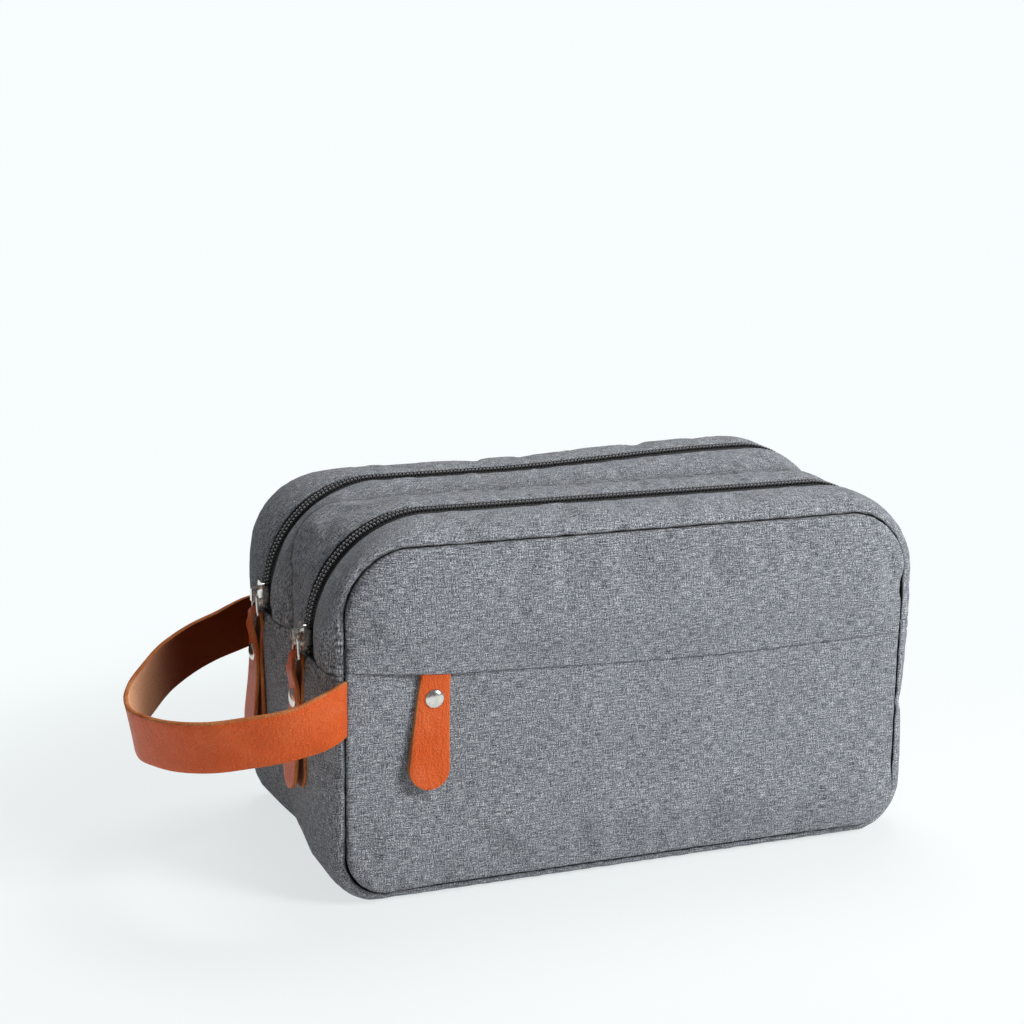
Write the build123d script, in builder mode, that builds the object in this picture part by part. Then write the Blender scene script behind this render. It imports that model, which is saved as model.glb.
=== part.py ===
from build123d import *
from math import asin, cos, radians, sin
import os

# Toiletry bag with two zipped compartments, a zipped front pocket and a leather carry strap.
# Millimetres. X runs along the bag, -Y is the front, +Z is up.
# The origin is the middle of the flat base. Depths are counted from the middle towards a face.

# Panel seams: the outline on which the front and back panels are sewn to the gussets
seam_half = 125.0
seam_top = 147.0
seam_foot = 5.0
seam_top_radius = 28.0
seam_foot_radius = 18.0
seam_depth = 68.5

# Zip lines: the crest of each compartment, outside the panel seams
track_swell = 6.0
track_rise = 8.0
track_radius = 50.0
track_depth = 34.0

# Centre seam between the two compartments
centre_tuck = 0.5
centre_rise = 0.5
centre_radius = 20.0

# Gusset fullness between those seams
swell_inset = 8.5
swell = 3.6
swell_rise = 4.6
swell_radius = 37.0
crease_depth = 12.0
crease_rise = 4.8
crease_radius = 36.0
belly_depth = 48.0
belly_foot = 0.0
belly_foot_radius = 22.0
swell_foot = 1.5
swell_foot_radius = 20.0
waist = 2.5

# Cloth
skin = 2.0
panel_skin = 1.5
lining = 0.8
wall_lining = 1.0
divider_skin = 1.6
lap = 0.1
end_seam_drop = 50.0
lining_top_drop = 5.0
back_lining_inset = 1.7
pocket_back_inset = 4.4

# Panel pillows, as how far the cloth stands out of the seam plane and how far in from the seam
pillow_shoulder = 3.3
pillow_shoulder_inset = 5.0
pillow_crown = 5.2
pillow_crown_inset = 14.0

# Fold on which each mouth opens, above the end seam
fold_rise = 15.0
fold_gap = 0.3

# Compartment zips
band_half = 7.5
zip_edge_drop = 0.4
zip_edge_tighten = 1.2
tape = 0.6
tape_flat = 5.2
tape_hidden = 5.5
tape_edge_drop = 0.4
tape_hidden_drop = 2.0
coil_width = 2.6
coil_height = 2.0
coil_gap = 1.2

# Compartment sliders
slider_length = 11.0
slider_wide = 9.3
slider_narrow = 7.9
slider_plate = 1.1
slider_sole = 0.8
slider_clear = 0.45
slider_rail_lift = 0.5
slider_rail_length = 6.6
slider_post = 0.5
slider_post_length = 2.4
slider_post_setback = 2.7
crown_width = 3.0
crown_length = 7.2
crown_wall = 0.9
crown_lean = 0.8
crown_leg = 1.2
crown_rise = 3.2
wire = 1.4
ring_top_width = 7.4
ring_width = 10.6
ring_drop = 8.5
ring_radius = 1.2
ring_stand = 2.15

# Pull tabs
leather = 1.6
wire_clear = 0.3
tab_waist = 6.4
tab_shoulder_drop = 1.5
tab_shoulder = 3.5
tab_fold_length = 11.0
tab_top_width = 11.0
tab_foot_width = 18.0
tab_length = 55.0
rivet_drop = 17.0
rivet_cap_radius = 4.0
rivet_cap_height = 1.6
rivet_rim = 0.4
rivet_back_radius = 3.4
rivet_back = 0.7
rivet_shank_radius = 1.25
rivet_fit = 0.05

# Front pocket
lip_drop = 2.0
lip_overlap = 0.9
pocket_panel_skin = 1.2
pocket_panel_stand = 0.1
pocket_zip_rise = 7.5
pocket_zip_inset = 27.0
pocket_tape = 0.4
pocket_tape_inset = 2.7
pocket_coil_width = 2.0
pocket_coil_height = 1.4
pocket_coil_gap = 1.0
pocket_tape_flat = 5.5
pocket_tape_slope = 5.5
pocket_tape_foot_drop = 7.5
pocket_tape_top_flat = 3.5
pocket_tape_top_slope = 3.3
pocket_slider_inset = 37.0
pocket_slider_length = 10.0
pocket_slider_wide = 8.0
pocket_slider_narrow = 6.8
pocket_slider_plate = 0.7
pocket_slider_clear = 0.3
pocket_slider_rail_lift = 0.3
pocket_slider_rail_length = 7.2
pocket_slider_post = 0.4
pocket_slider_post_setback = 2.5
pocket_crown_width = 2.2
pocket_crown_length = 4.4
pocket_crown_wall = 0.6
pocket_crown_lean = 0.5
pocket_crown_leg = 0.8
pocket_crown_rise = 1.7
pocket_wire = 1.0
pocket_ring_width = 7.6
pocket_tab_waist = 5.2
pocket_shoulder_drop = 0.8
pocket_ring_drop = 4.3
pocket_ring_radius = 1.2
pocket_ring_stand = 0.8
pocket_bar_stand = 1.6
pocket_leather = 1.1
pocket_wire_clear = 0.15
pocket_tab_top_width = 11.5
pocket_tab_foot_width = 18.0
pocket_tab_length = 46.5
pocket_tab_lean = 4.0
pocket_rivet_drop = 9.5
pocket_rivet_back = 0.3
tab_fold_gap = 0.3

# Carry strap
strap_width = 25.0
strap_leather = 2.0
strap_droop = 12.0
strap_seam_gap = 0.2
strap_drop = 14.5
strap_anchor_stand = 0.5
strap_tip = 0.35
strap_tip_half = 0.25
strap_taper = 13.6
strap_start = (0.72, 0.69)
strap_shoulder = (18.0, 77.0)
strap_front = (66.0, 50.0)
strap_nose = (76.0, 10.0)
strap_rear = (60.0, -32.0)
strap_rear_shoulder = (26.0, -64.0)

# Sizes that follow from those above
track_half = seam_half + track_swell
track_top = seam_top + track_rise
centre_half = seam_half - centre_tuck
centre_top = seam_top + centre_rise
swell_half = seam_half + swell
swell_top = seam_top + swell_rise
swell_depth = seam_depth - swell_inset
crease_top = seam_top + crease_rise
waist_half = seam_half + waist
end_seam_z = seam_top - end_seam_drop
lining_top_z = end_seam_z - lining_top_drop
fold_z = end_seam_z + fold_rise
lip_z = end_seam_z - lip_drop
pocket_zip_z = lip_z + pocket_zip_rise
pocket_zip_half = seam_half - pocket_zip_inset
pocket_tape_depth = seam_depth - pocket_tape_inset
pocket_panel_depth = seam_depth + pocket_panel_stand
pocket_slider_x = pocket_slider_inset - seam_half
pocket_bar_depth = seam_depth + pocket_bar_stand
pocket_tab_foot_z = lip_z - pocket_tab_length
strap_anchor = seam_depth + strap_anchor_stand

os.makedirs("parts", exist_ok=True)


def save(builder, label):
    """Name a finished piece and write it."""
    builder.part.label = label
    export_step(builder.part, f"parts/{label}.step")


def rounded_block(half, foot, top, foot_radius, top_radius):
    """Upright block outline with its own radius at the foot and at the top."""
    with BuildSketch(Plane.XY, mode=Mode.PRIVATE) as block:
        with Locations((0, (foot + top) / 2)):
            Rectangle(2 * half, top - foot)
        if top_radius > 0:
            fillet(block.vertices().group_by(Axis.Y)[-1], top_radius)
        if foot_radius > 0:
            fillet(block.vertices().group_by(Axis.Y)[0], foot_radius)
    return block.sketch


def arch(depth, half, top, radius, inset, thickness):
    """Section of a band that runs over the top of the bag, ending at the end seam."""
    cut = inset + thickness
    with BuildSketch(Plane.XZ.offset(depth), mode=Mode.PRIVATE) as section:
        add(rounded_block(half - inset, end_seam_z, top - inset, 0, radius - inset))
        add(rounded_block(half - cut, end_seam_z, top - cut, 0, radius - cut), mode=Mode.SUBTRACT)
    return section.sketch


def trough(depth, half, foot, radius, top_z, inset, thickness):
    """Section of a band that runs under the bag, ending at a height."""
    cut = inset + thickness
    with BuildSketch(Plane.XZ.offset(depth), mode=Mode.PRIVATE) as section:
        add(rounded_block(half - inset, foot + inset, top_z, radius - inset, 0))
        add(rounded_block(half - cut, foot + cut, top_z, radius - cut, 0), mode=Mode.SUBTRACT)
    return section.sketch


def seam_outline(inset):
    """The panel outline, drawn in from its seam."""
    return rounded_block(
        seam_half - inset,
        seam_foot + inset,
        seam_top - inset,
        seam_foot_radius - inset,
        seam_top_radius - inset,
    )


def pillow(side, shrink):
    """Sections of the panel pillow on one face, drawn in by the cloth's thickness."""
    sections = []
    for rise, inset in (
        (0, shrink),
        (pillow_shoulder - shrink, pillow_shoulder_inset + shrink / 2),
        (pillow_crown - shrink, pillow_crown_inset + shrink / 2),
    ):
        with BuildSketch(Plane.XZ.offset(side * (seam_depth + rise)), mode=Mode.PRIVATE) as section:
            add(seam_outline(inset))
        sections.append(section.sketch)
    return sections


def fullness(depth):
    """Size and corners of the gussets' outer face at a depth between seam and swell."""
    share = (seam_depth - depth) / (seam_depth - swell_depth)
    seam = (seam_half, seam_foot, seam_top, seam_foot_radius, seam_top_radius)
    swell = (swell_half, swell_foot, swell_top, swell_foot_radius, swell_radius)
    return [a + share * (b - a) for a, b in zip(seam, swell)]


def inner_wall(depth, thickness, side):
    """Flat cloth panel just inside the gussets, its outer face at a depth."""
    half, foot, top, foot_radius, top_radius = fullness(depth)
    cut = skin + lap
    with BuildSketch(Plane.XZ.offset(side * depth), mode=Mode.PRIVATE) as outline:
        add(rounded_block(half - cut, foot + cut, top - cut, foot_radius - cut, top_radius - cut))
    extrude(outline.sketch, amount=-side * thickness)


# Gussets

bottom_stations = (
    (seam_depth, seam_half, seam_foot, seam_foot_radius),
    (swell_depth, swell_half, swell_foot, swell_foot_radius),
    (belly_depth, track_half - zip_edge_drop, belly_foot, belly_foot_radius),
    (0.0, waist_half, belly_foot, belly_foot_radius),
)

with BuildPart() as bottom_gusset:
    front_half = [trough(depth, *shape, end_seam_z, 0, skin) for depth, *shape in bottom_stations]
    rear_half = [trough(-depth, *shape, end_seam_z, 0, skin) for depth, *shape in bottom_stations[-2::-1]]
    loft(front_half + rear_half, ruled=True)
save(bottom_gusset, "bottom_gusset")

for side, name in ((1, "front"), (-1, "rear")):
    with BuildPart() as compartment_lining:
        stations = [*bottom_stations[1:-1], (divider_skin / 2 + lap, *bottom_stations[-1][1:])]
        loft(
            [trough(side * depth, *shape, lining_top_z, skin + lap, lining) for depth, *shape in stations],
            ruled=True,
        )
    save(compartment_lining, f"{name}_compartment_lining")

with BuildPart() as divider:
    with BuildSketch(Plane.XZ.offset(-divider_skin / 2)):
        cut = skin + lap
        add(rounded_block(waist_half - cut, belly_foot + cut, end_seam_z - lap, belly_foot_radius - cut, 0))
        add(rounded_block(centre_half - cut, lining_top_z, centre_top - cut, 0, centre_radius - cut))
    extrude(amount=divider_skin)
save(divider, "divider")

zip_edge = (track_half - zip_edge_drop, track_top - zip_edge_drop, track_radius - zip_edge_tighten)

for side, name in ((1, "front"), (-1, "rear")):
    outer_stations = (
        (seam_depth, seam_half, seam_top, seam_top_radius),
        (swell_depth, swell_half, swell_top, swell_radius),
        (track_depth + band_half, *zip_edge),
    )
    inner_stations = (
        (track_depth - band_half, *zip_edge),
        (crease_depth, swell_half, crease_top, crease_radius),
        (0.0, centre_half, centre_top, centre_radius),
    )
    with BuildPart() as inner_gusset:
        loft([arch(side * depth, *shape, 0, skin) for depth, *shape in inner_stations], ruled=True)
    save(inner_gusset, f"{name}_inner_gusset")

    for keep, shift, piece in ((Keep.TOP, 1, "outer_gusset"), (Keep.BOTTOM, -1, "gusset_ends")):
        with BuildPart() as outer_gusset:
            loft([arch(side * depth, *shape, 0, skin) for depth, *shape in outer_stations], ruled=True)
            split(bisect_by=Plane.XY.offset(fold_z + shift * fold_gap / 2), keep=keep)
        save(outer_gusset, f"{name}_{piece}")

# Compartment zips: two tapes and two coils each

tape_inset = coil_height


def tape_sections(side, towards):
    """Sections of one tape half, from its coil edge to the edge sewn under the gusset."""
    start = track_depth + towards * coil_gap / 2
    sections = []
    for reach, drop in (
        (0.0, 0.0),
        (tape_flat - coil_gap / 2, 0.0),
        (band_half - coil_gap / 2 - lap, tape_edge_drop),
        (band_half - coil_gap / 2 + tape_hidden, tape_hidden_drop),
    ):
        depth = side * (start + towards * reach)
        sections.append(arch(depth, track_half, track_top, track_radius, tape_inset + drop, tape))
    return sections


def coil_band(side, towards):
    """One row of coil, standing on the outer face of its tape."""
    start = track_depth + towards * coil_gap / 2
    row = arch(side * start, track_half, track_top, track_radius, 0, coil_height)
    extrude(row, amount=side * towards * coil_width)


for side, name in ((1, "front"), (-1, "rear")):
    with BuildPart() as tape_inner:
        loft(tape_sections(side, -1), ruled=True)
    save(tape_inner, f"{name}_zip_tape_inner")

    with BuildPart() as coil_inner:
        coil_band(side, -1)
    save(coil_inner, f"{name}_zip_coil_inner")

    for keep, shift, piece in ((Keep.TOP, 1, "outer"), (Keep.BOTTOM, -1, "ends")):
        with BuildPart() as tape_outer:
            loft(tape_sections(side, 1), ruled=True)
            split(bisect_by=Plane.XY.offset(fold_z + shift * fold_gap / 2), keep=keep)
        save(tape_outer, f"{name}_zip_tape_{piece}")

        with BuildPart() as coil_outer:
            coil_band(side, 1)
            split(bisect_by=Plane.XY.offset(fold_z + shift * fold_gap / 2), keep=keep)
        save(coil_outer, f"{name}_zip_coil_{piece}")

# Panels

for side, face in ((1, "front"), (-1, "back")):
    with BuildPart() as upper_panel:
        loft(pillow(side, 0), ruled=True)
        loft(pillow(side, panel_skin), ruled=True, mode=Mode.SUBTRACT)
        split(bisect_by=Plane.XY.offset(fold_z + fold_gap / 2), keep=Keep.TOP)
    save(upper_panel, f"{face}_upper_panel")

with BuildPart() as back_lower_panel:
    loft(pillow(-1, 0), ruled=True)
    loft(pillow(-1, panel_skin), ruled=True, mode=Mode.SUBTRACT)
    split(bisect_by=Plane.XY.offset(fold_z - fold_gap / 2), keep=Keep.BOTTOM)
save(back_lower_panel, "back_lower_panel")

with BuildPart() as pocket_placket:
    loft(pillow(1, 0), ruled=True)
    loft(pillow(1, panel_skin), ruled=True, mode=Mode.SUBTRACT)
    split(bisect_by=Plane.XY.offset(fold_z - fold_gap / 2), keep=Keep.BOTTOM)
    split(bisect_by=Plane.XY.offset(lip_z), keep=Keep.TOP)
save(pocket_placket, "pocket_placket")

for side, depth, upper, lower in (
    (1, seam_depth - pocket_back_inset, "front_upper_lining", "pocket_back_lining"),
    (-1, seam_depth - back_lining_inset, "back_upper_lining", "back_lower_lining"),
):
    for keep, shift, piece in ((Keep.TOP, 1, upper), (Keep.BOTTOM, -1, lower)):
        with BuildPart() as wall:
            inner_wall(depth, wall_lining, side)
            split(bisect_by=Plane.XY.offset(fold_z + shift * fold_gap / 2), keep=keep)
        save(wall, piece)

with BuildPart() as front_pocket_panel:
    with BuildSketch(Plane.XZ.offset(pocket_panel_depth)):
        add(seam_outline(skin + lap))
    extrude(amount=-pocket_panel_skin)
    split(bisect_by=Plane.XY.offset(lip_z + lip_overlap), keep=Keep.BOTTOM)
save(front_pocket_panel, "front_pocket_panel")

# Pocket zip, behind the placket

placket_inner_depth = seam_depth + pillow_crown - panel_skin
panel_inner_depth = pocket_panel_depth - pocket_panel_skin


def pocket_tape_strip(points):
    """Bent strip of tape: (depth, height) points on its outer face, run along the zip."""
    outer = [(-depth, z) for depth, z in points]
    inner = [(-depth + pocket_tape, z) for depth, z in reversed(points)]
    with BuildSketch(Plane.YZ.offset(-pocket_zip_half), mode=Mode.PRIVATE) as strip:
        with BuildLine():
            Polyline(*outer, *inner, close=True)
        make_face()
    extrude(strip.sketch, amount=2 * pocket_zip_half)


with BuildPart() as pocket_zip_tape_lower:
    edge = pocket_zip_z - pocket_coil_gap / 2
    pocket_tape_strip([
        (pocket_tape_depth, edge),
        (pocket_tape_depth, edge - pocket_tape_flat),
        (panel_inner_depth - lap, edge - pocket_tape_flat - pocket_tape_slope),
        (panel_inner_depth - lap, lip_z - pocket_tape_foot_drop),
    ])
save(pocket_zip_tape_lower, "pocket_zip_tape_lower")

with BuildPart() as pocket_zip_tape_upper:
    edge = pocket_zip_z + pocket_coil_gap / 2
    pocket_tape_strip([
        (pocket_tape_depth, edge),
        (pocket_tape_depth, edge + pocket_tape_top_flat),
        (placket_inner_depth - fold_gap, edge + pocket_tape_top_flat + pocket_tape_top_slope),
        (placket_inner_depth - fold_gap, fold_z - fold_gap - pocket_tape),
    ])
save(pocket_zip_tape_upper, "pocket_zip_tape_upper")

for towards, row in ((-1, "lower"), (1, "upper")):
    with BuildPart() as pocket_coil:
        near = pocket_coil_gap / 2
        with BuildSketch(Plane.XZ.offset(pocket_tape_depth)):
            with Locations((0, pocket_zip_z + towards * (near + pocket_coil_width / 2))):
                Rectangle(2 * pocket_zip_half, pocket_coil_width)
        extrude(amount=pocket_coil_height)
    save(pocket_coil, f"pocket_zip_coil_{row}")

# Sliders. Their plane lies on the tape: x along the zip towards its closed end, z away from the bag


def across(seat):
    """The plane through a seat that looks across the zip: x along it, y away from the bag."""
    return Plane(origin=seat.origin, x_dir=seat.x_dir, z_dir=-seat.y_dir)


def slider_plate_outline(plane, length, wide, narrow, corner):
    """Shield outline of a slider plate, its narrow end towards the closed chain."""
    with BuildSketch(plane, mode=Mode.PRIVATE) as outline:
        with BuildLine():
            Polyline(
                (-length / 2, wide / 2),
                (0, wide / 2),
                (length / 2, narrow / 2),
                (length / 2, -narrow / 2),
                (0, -wide / 2),
                (-length / 2, -wide / 2),
                close=True,
            )
        make_face()
        fillet(outline.vertices().group_by(Axis.X)[0], corner)
        fillet(outline.vertices().group_by(Axis.X)[-1], corner)
    return outline.sketch


def slider_body(seat, outline, plate, sole, clear, rail, post, coil, gap, cloth):
    """Top plate, two rails, the wedge post between the coils, and the sole plate behind the tape."""
    length, wide, narrow = outline
    coil_across, coil_tall = coil
    roof = coil_tall + clear
    floor = -cloth - clear
    extrude(slider_plate_outline(seat.offset(roof), length, wide, narrow, plate), amount=plate)
    extrude(slider_plate_outline(seat.offset(floor), length, wide, narrow, plate), amount=-sole)

    rail_lift, rail_length = rail
    rail_y = gap / 2 + coil_across + clear
    rail_width = narrow / 2 - rail_y
    with BuildSketch(seat.offset(rail_lift), mode=Mode.PRIVATE) as rails:
        with Locations((0, rail_y + rail_width / 2), (0, -rail_y - rail_width / 2)):
            Rectangle(rail_length, rail_width)
    extrude(rails.sketch, amount=roof - rail_lift)

    post_width, post_length, setback = post
    with BuildSketch(seat.offset(floor), mode=Mode.PRIVATE) as wedge:
        with Locations((-setback, 0)):
            Rectangle(post_length, post_width)
    extrude(wedge.sketch, amount=roof - floor)


def slider_crown(seat, base, width, length, rise, wall, lean, leg):
    """Bridge on the top plate that holds the pull ring."""
    with BuildSketch(across(seat).offset(-width / 2), mode=Mode.PRIVATE) as bridge:
        with BuildLine():
            Polyline(
                (-length / 2, base),
                (-length / 2 + lean, base + rise + wall),
                (length / 2 - lean, base + rise + wall),
                (length / 2, base),
                close=True,
            )
        make_face()
        with BuildLine():
            Polyline(
                (-length / 2 + leg, base),
                (-length / 2 + leg + lean, base + rise),
                (length / 2 - leg - lean, base + rise),
                (length / 2 - leg, base),
                close=True,
            )
        make_face(mode=Mode.SUBTRACT)
    extrude(bridge.sketch, amount=width)


def wire_ring(hang, top_width, width, drop, radius, gauge):
    """Closed wire loop on a plane whose origin is the top bar and whose y runs up the loop."""
    top = (top_width - gauge) / 2
    low = (width - gauge) / 2
    with BuildLine(hang) as loop:
        FilletPolyline((top, 0), (low, -drop), (-low, -drop), (-top, 0), radius=radius, close=True)
    with BuildSketch(Plane(origin=loop.wire() @ 0, z_dir=loop.wire() % 0), mode=Mode.PRIVATE) as section:
        Circle(gauge / 2)
    sweep(section.sketch, path=loop.wire())


def tab_outline(top_z, foot_z, top_width, foot_width, lean):
    """Front view of a pull tab below its shoulders: straight sides that widen to a round foot."""
    radius = foot_width / 2
    with BuildSketch(Plane.XY, mode=Mode.PRIVATE) as outline:
        with BuildLine():
            left = Line((-top_width / 2, top_z), (-radius - lean, foot_z + radius))
            arc = ThreePointArc(left @ 1, (-lean, foot_z), (radius - lean, foot_z + radius))
            Polyline(arc @ 1, (top_width / 2, top_z), left @ 0)
        make_face()
    return outline.sketch


def waist_outline(top_z, shoulder_z, foot_z, waist, width):
    """Front view of a tab's folded end: a waist inside the ring, then its shoulders."""
    with BuildSketch(Plane.XY, mode=Mode.PRIVATE) as outline:
        with BuildLine():
            Polyline(
                (-waist / 2, top_z),
                (-waist / 2, shoulder_z),
                (-width / 2, foot_z),
                (width / 2, foot_z),
                (waist / 2, shoulder_z),
                (waist / 2, top_z),
                close=True,
            )
        make_face()
    return outline.sketch


def rivet_cap(seat, drop):
    """Domed cap on the outer face of a tab."""
    foot = seat.origin - seat.x_dir * drop
    rise = rivet_cap_height - rivet_rim
    dome = (rivet_cap_radius**2 + rise**2) / (2 * rise)
    turn = asin(rivet_cap_radius / dome) / 2
    with BuildSketch(Plane(origin=foot, x_dir=seat.x_dir, z_dir=-seat.y_dir), mode=Mode.PRIVATE) as half:
        with BuildLine():
            rim = Polyline((0, rivet_cap_height), (0, 0), (rivet_cap_radius, 0), (rivet_cap_radius, rivet_rim))
            ThreePointArc(
                rim @ 1,
                (dome * sin(turn), rivet_cap_height - dome * (1 - cos(turn))),
                rim @ 0,
            )
        make_face()
    revolve(half.sketch, axis=Axis(foot, seat.z_dir))


def rivet_post(seat, drop, thickness, back):
    """Shank through the leather and the flat back of the rivet."""
    with BuildSketch(seat.offset(-thickness), mode=Mode.PRIVATE) as shank:
        with Locations((-drop, 0)):
            Circle(rivet_shank_radius)
    extrude(shank.sketch, amount=thickness)
    with BuildSketch(seat.offset(-thickness), mode=Mode.PRIVATE) as disc:
        with Locations((-drop, 0)):
            Circle(rivet_back_radius)
    extrude(disc.sketch, amount=-back)


slider_z = track_top - track_radius
slider_top = coil_height + slider_clear + slider_plate
bar_out = slider_top + ring_stand
bar_x = -(track_half - coil_height) - bar_out
tab_thick = 2 * leather
fold_radius = wire / 2 + wire_clear + leather
tab_reach = 2 * fold_radius

for side, name in ((1, "front"), (-1, "rear")):
    zip_y = -side * track_depth
    seat = Plane(origin=(-(track_half - tape_inset), zip_y, slider_z), x_dir=(0, 0, 1), z_dir=(-1, 0, 0))

    with BuildPart() as body:
        slider_body(
            seat,
            (slider_length, slider_wide, slider_narrow),
            slider_plate,
            slider_sole,
            slider_clear,
            (slider_rail_lift, slider_rail_length),
            (slider_post, slider_post_length, slider_post_setback),
            (coil_width, coil_height),
            coil_gap,
            tape,
        )
    save(body, f"{name}_slider_body")

    with BuildPart() as crown:
        slider_crown(
            seat, slider_top, crown_width, crown_length, crown_rise, crown_wall, crown_lean, crown_leg
        )
    save(crown, f"{name}_slider_crown")

    with BuildPart() as ring:
        hang = Plane(origin=(bar_x, zip_y, slider_z), x_dir=(0, -1, 0), z_dir=(-1, 0, 0))
        wire_ring(hang, ring_top_width, ring_width, ring_drop, ring_radius, wire)
    save(ring, f"{name}_pull_ring")

    bar_z = slider_z - ring_drop
    with BuildPart() as tab:
        with BuildSketch(Plane.XZ.offset(side * track_depth - tab_foot_width / 2)):
            with Locations((bar_x, bar_z)):
                Circle(fold_radius)
            with Locations((bar_x, bar_z - tab_fold_length)):
                Rectangle(tab_thick, leather)
            make_hull()
            with Locations((bar_x, bar_z - (tab_length + tab_fold_length) / 2)):
                Rectangle(tab_thick, tab_length - tab_fold_length)
            with Locations((bar_x, bar_z)):
                Circle(fold_radius - leather, mode=Mode.SUBTRACT)
        extrude(amount=tab_foot_width)
        with BuildSketch(Plane.YZ.offset(bar_x - tab_reach)):
            with Locations((zip_y, 0)):
                shoulder_z = bar_z - tab_shoulder_drop
                full_z = shoulder_z - tab_shoulder
                add(waist_outline(bar_z + fold_radius, shoulder_z, full_z, tab_waist, tab_top_width))
                add(tab_outline(full_z, bar_z - tab_length, tab_top_width, tab_foot_width, 0))
        extrude(amount=2 * tab_reach, mode=Mode.INTERSECT)
        with BuildSketch(Plane.YZ.offset(bar_x - tab_reach)):
            with Locations((zip_y, bar_z - rivet_drop)):
                Circle(rivet_shank_radius + rivet_fit)
        extrude(amount=2 * tab_reach, mode=Mode.SUBTRACT)
    save(tab, f"{name}_pull_tab")

    face = Plane(origin=(bar_x - tab_thick / 2, zip_y, bar_z), x_dir=(0, 0, 1), z_dir=(-1, 0, 0))
    with BuildPart() as cap:
        rivet_cap(face, rivet_drop)
    save(cap, f"{name}_rivet_cap")

    with BuildPart() as post:
        rivet_post(face, rivet_drop, tab_thick, rivet_back)
    save(post, f"{name}_rivet_post")

# Pocket slider and its tab, which bends where it comes out from under the placket's lip

pocket_seat = Plane(
    origin=(pocket_slider_x, -pocket_tape_depth, pocket_zip_z), x_dir=(1, 0, 0), z_dir=(0, -1, 0)
)
pocket_top = pocket_coil_height + pocket_slider_clear + pocket_slider_plate
pocket_bar_z = pocket_zip_z - pocket_ring_drop
pocket_fold_radius = pocket_wire / 2 + pocket_wire_clear + pocket_leather
pocket_tab_thick = 2 * pocket_leather
pocket_tab_reach = 2 * pocket_fold_radius
pocket_hinge_z = lip_z - tab_fold_gap

with BuildPart() as body:
    slider_body(
        pocket_seat,
        (pocket_slider_length, pocket_slider_wide, pocket_slider_narrow),
        pocket_slider_plate,
        pocket_slider_plate,
        pocket_slider_clear,
        (pocket_slider_rail_lift, pocket_slider_rail_length),
        (pocket_slider_post, slider_post_length, pocket_slider_post_setback),
        (pocket_coil_width, pocket_coil_height),
        pocket_coil_gap,
        pocket_tape,
    )
save(body, "pocket_slider_body")

with BuildPart() as crown:
    upright = Plane(origin=pocket_seat.origin, x_dir=(0, 0, 1), z_dir=(0, -1, 0))
    slider_crown(
        upright, pocket_top, pocket_crown_width, pocket_crown_length, pocket_crown_rise,
        pocket_crown_wall, pocket_crown_lean, pocket_crown_leg,
    )
save(crown, "pocket_slider_crown")

with BuildPart() as ring:
    top_bar = Vector(pocket_slider_x, -(pocket_tape_depth + pocket_top + pocket_ring_stand), pocket_zip_z)
    low_bar = Vector(pocket_slider_x, -pocket_bar_depth, pocket_bar_z)
    up = (top_bar - low_bar).normalized()
    hang = Plane(origin=top_bar, x_dir=(1, 0, 0), z_dir=Vector(1, 0, 0).cross(up))
    wire_ring(
        hang, pocket_ring_width, pocket_ring_width, (top_bar - low_bar).length, pocket_ring_radius, pocket_wire
    )
save(ring, "pocket_pull_ring")

with BuildPart() as pocket_tab_fold:
    with BuildSketch(Plane.YZ.offset(pocket_slider_x - pocket_tab_top_width / 2)):
        with Locations((-pocket_bar_depth, pocket_bar_z)):
            Circle(pocket_fold_radius)
        with Locations((-pocket_bar_depth, lip_z + tab_fold_gap)):
            Rectangle(pocket_tab_thick, tab_fold_gap)
        make_hull()
        with Locations((-pocket_bar_depth, pocket_bar_z)):
            Circle(pocket_fold_radius - pocket_leather, mode=Mode.SUBTRACT)
    extrude(amount=pocket_tab_top_width)
    with BuildSketch(Plane.XZ.offset(pocket_bar_depth - pocket_tab_reach)):
        with Locations((pocket_slider_x, 0)):
            add(waist_outline(
                pocket_bar_z + pocket_fold_radius,
                pocket_bar_z - pocket_shoulder_drop,
                lip_z,
                pocket_tab_waist,
                pocket_tab_top_width,
            ))
    extrude(amount=2 * pocket_tab_reach, mode=Mode.INTERSECT)
save(pocket_tab_fold, "pocket_tab_fold")

pocket_face = Plane(
    origin=(pocket_slider_x - pocket_tab_lean * pocket_rivet_drop / (lip_z - pocket_tab_foot_z),
            -pocket_bar_depth - pocket_tab_thick / 2, lip_z),
    x_dir=(0, 0, 1), z_dir=(0, -1, 0),
)

with BuildPart() as pocket_pull_tab:
    with BuildSketch(Plane.XZ.offset(pocket_bar_depth - pocket_tab_thick / 2)):
        with Locations((pocket_slider_x, 0)):
            add(tab_outline(pocket_hinge_z, pocket_tab_foot_z, pocket_tab_top_width,
                            pocket_tab_foot_width, pocket_tab_lean))
        with Locations((pocket_face.origin.X, lip_z - pocket_rivet_drop)):
            Circle(rivet_shank_radius + rivet_fit, mode=Mode.SUBTRACT)
    extrude(amount=pocket_tab_thick)
save(pocket_pull_tab, "pocket_pull_tab")

with BuildPart() as cap:
    rivet_cap(pocket_face, pocket_rivet_drop)
save(cap, "pocket_rivet_cap")

with BuildPart() as post:
    rivet_post(pocket_face, pocket_rivet_drop, pocket_tab_thick, pocket_rivet_back)
save(post, "pocket_rivet_post")

# Carry strap: a D loop sewn into the two left-hand seams, drooping a little

droop = radians(strap_droop)
strap_plane = Plane(
    origin=(-seam_half - strap_seam_gap, 0, end_seam_z - strap_drop),
    x_dir=(-cos(droop), 0, -sin(droop)),
    z_dir=(-sin(droop), 0, cos(droop)),
)

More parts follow.
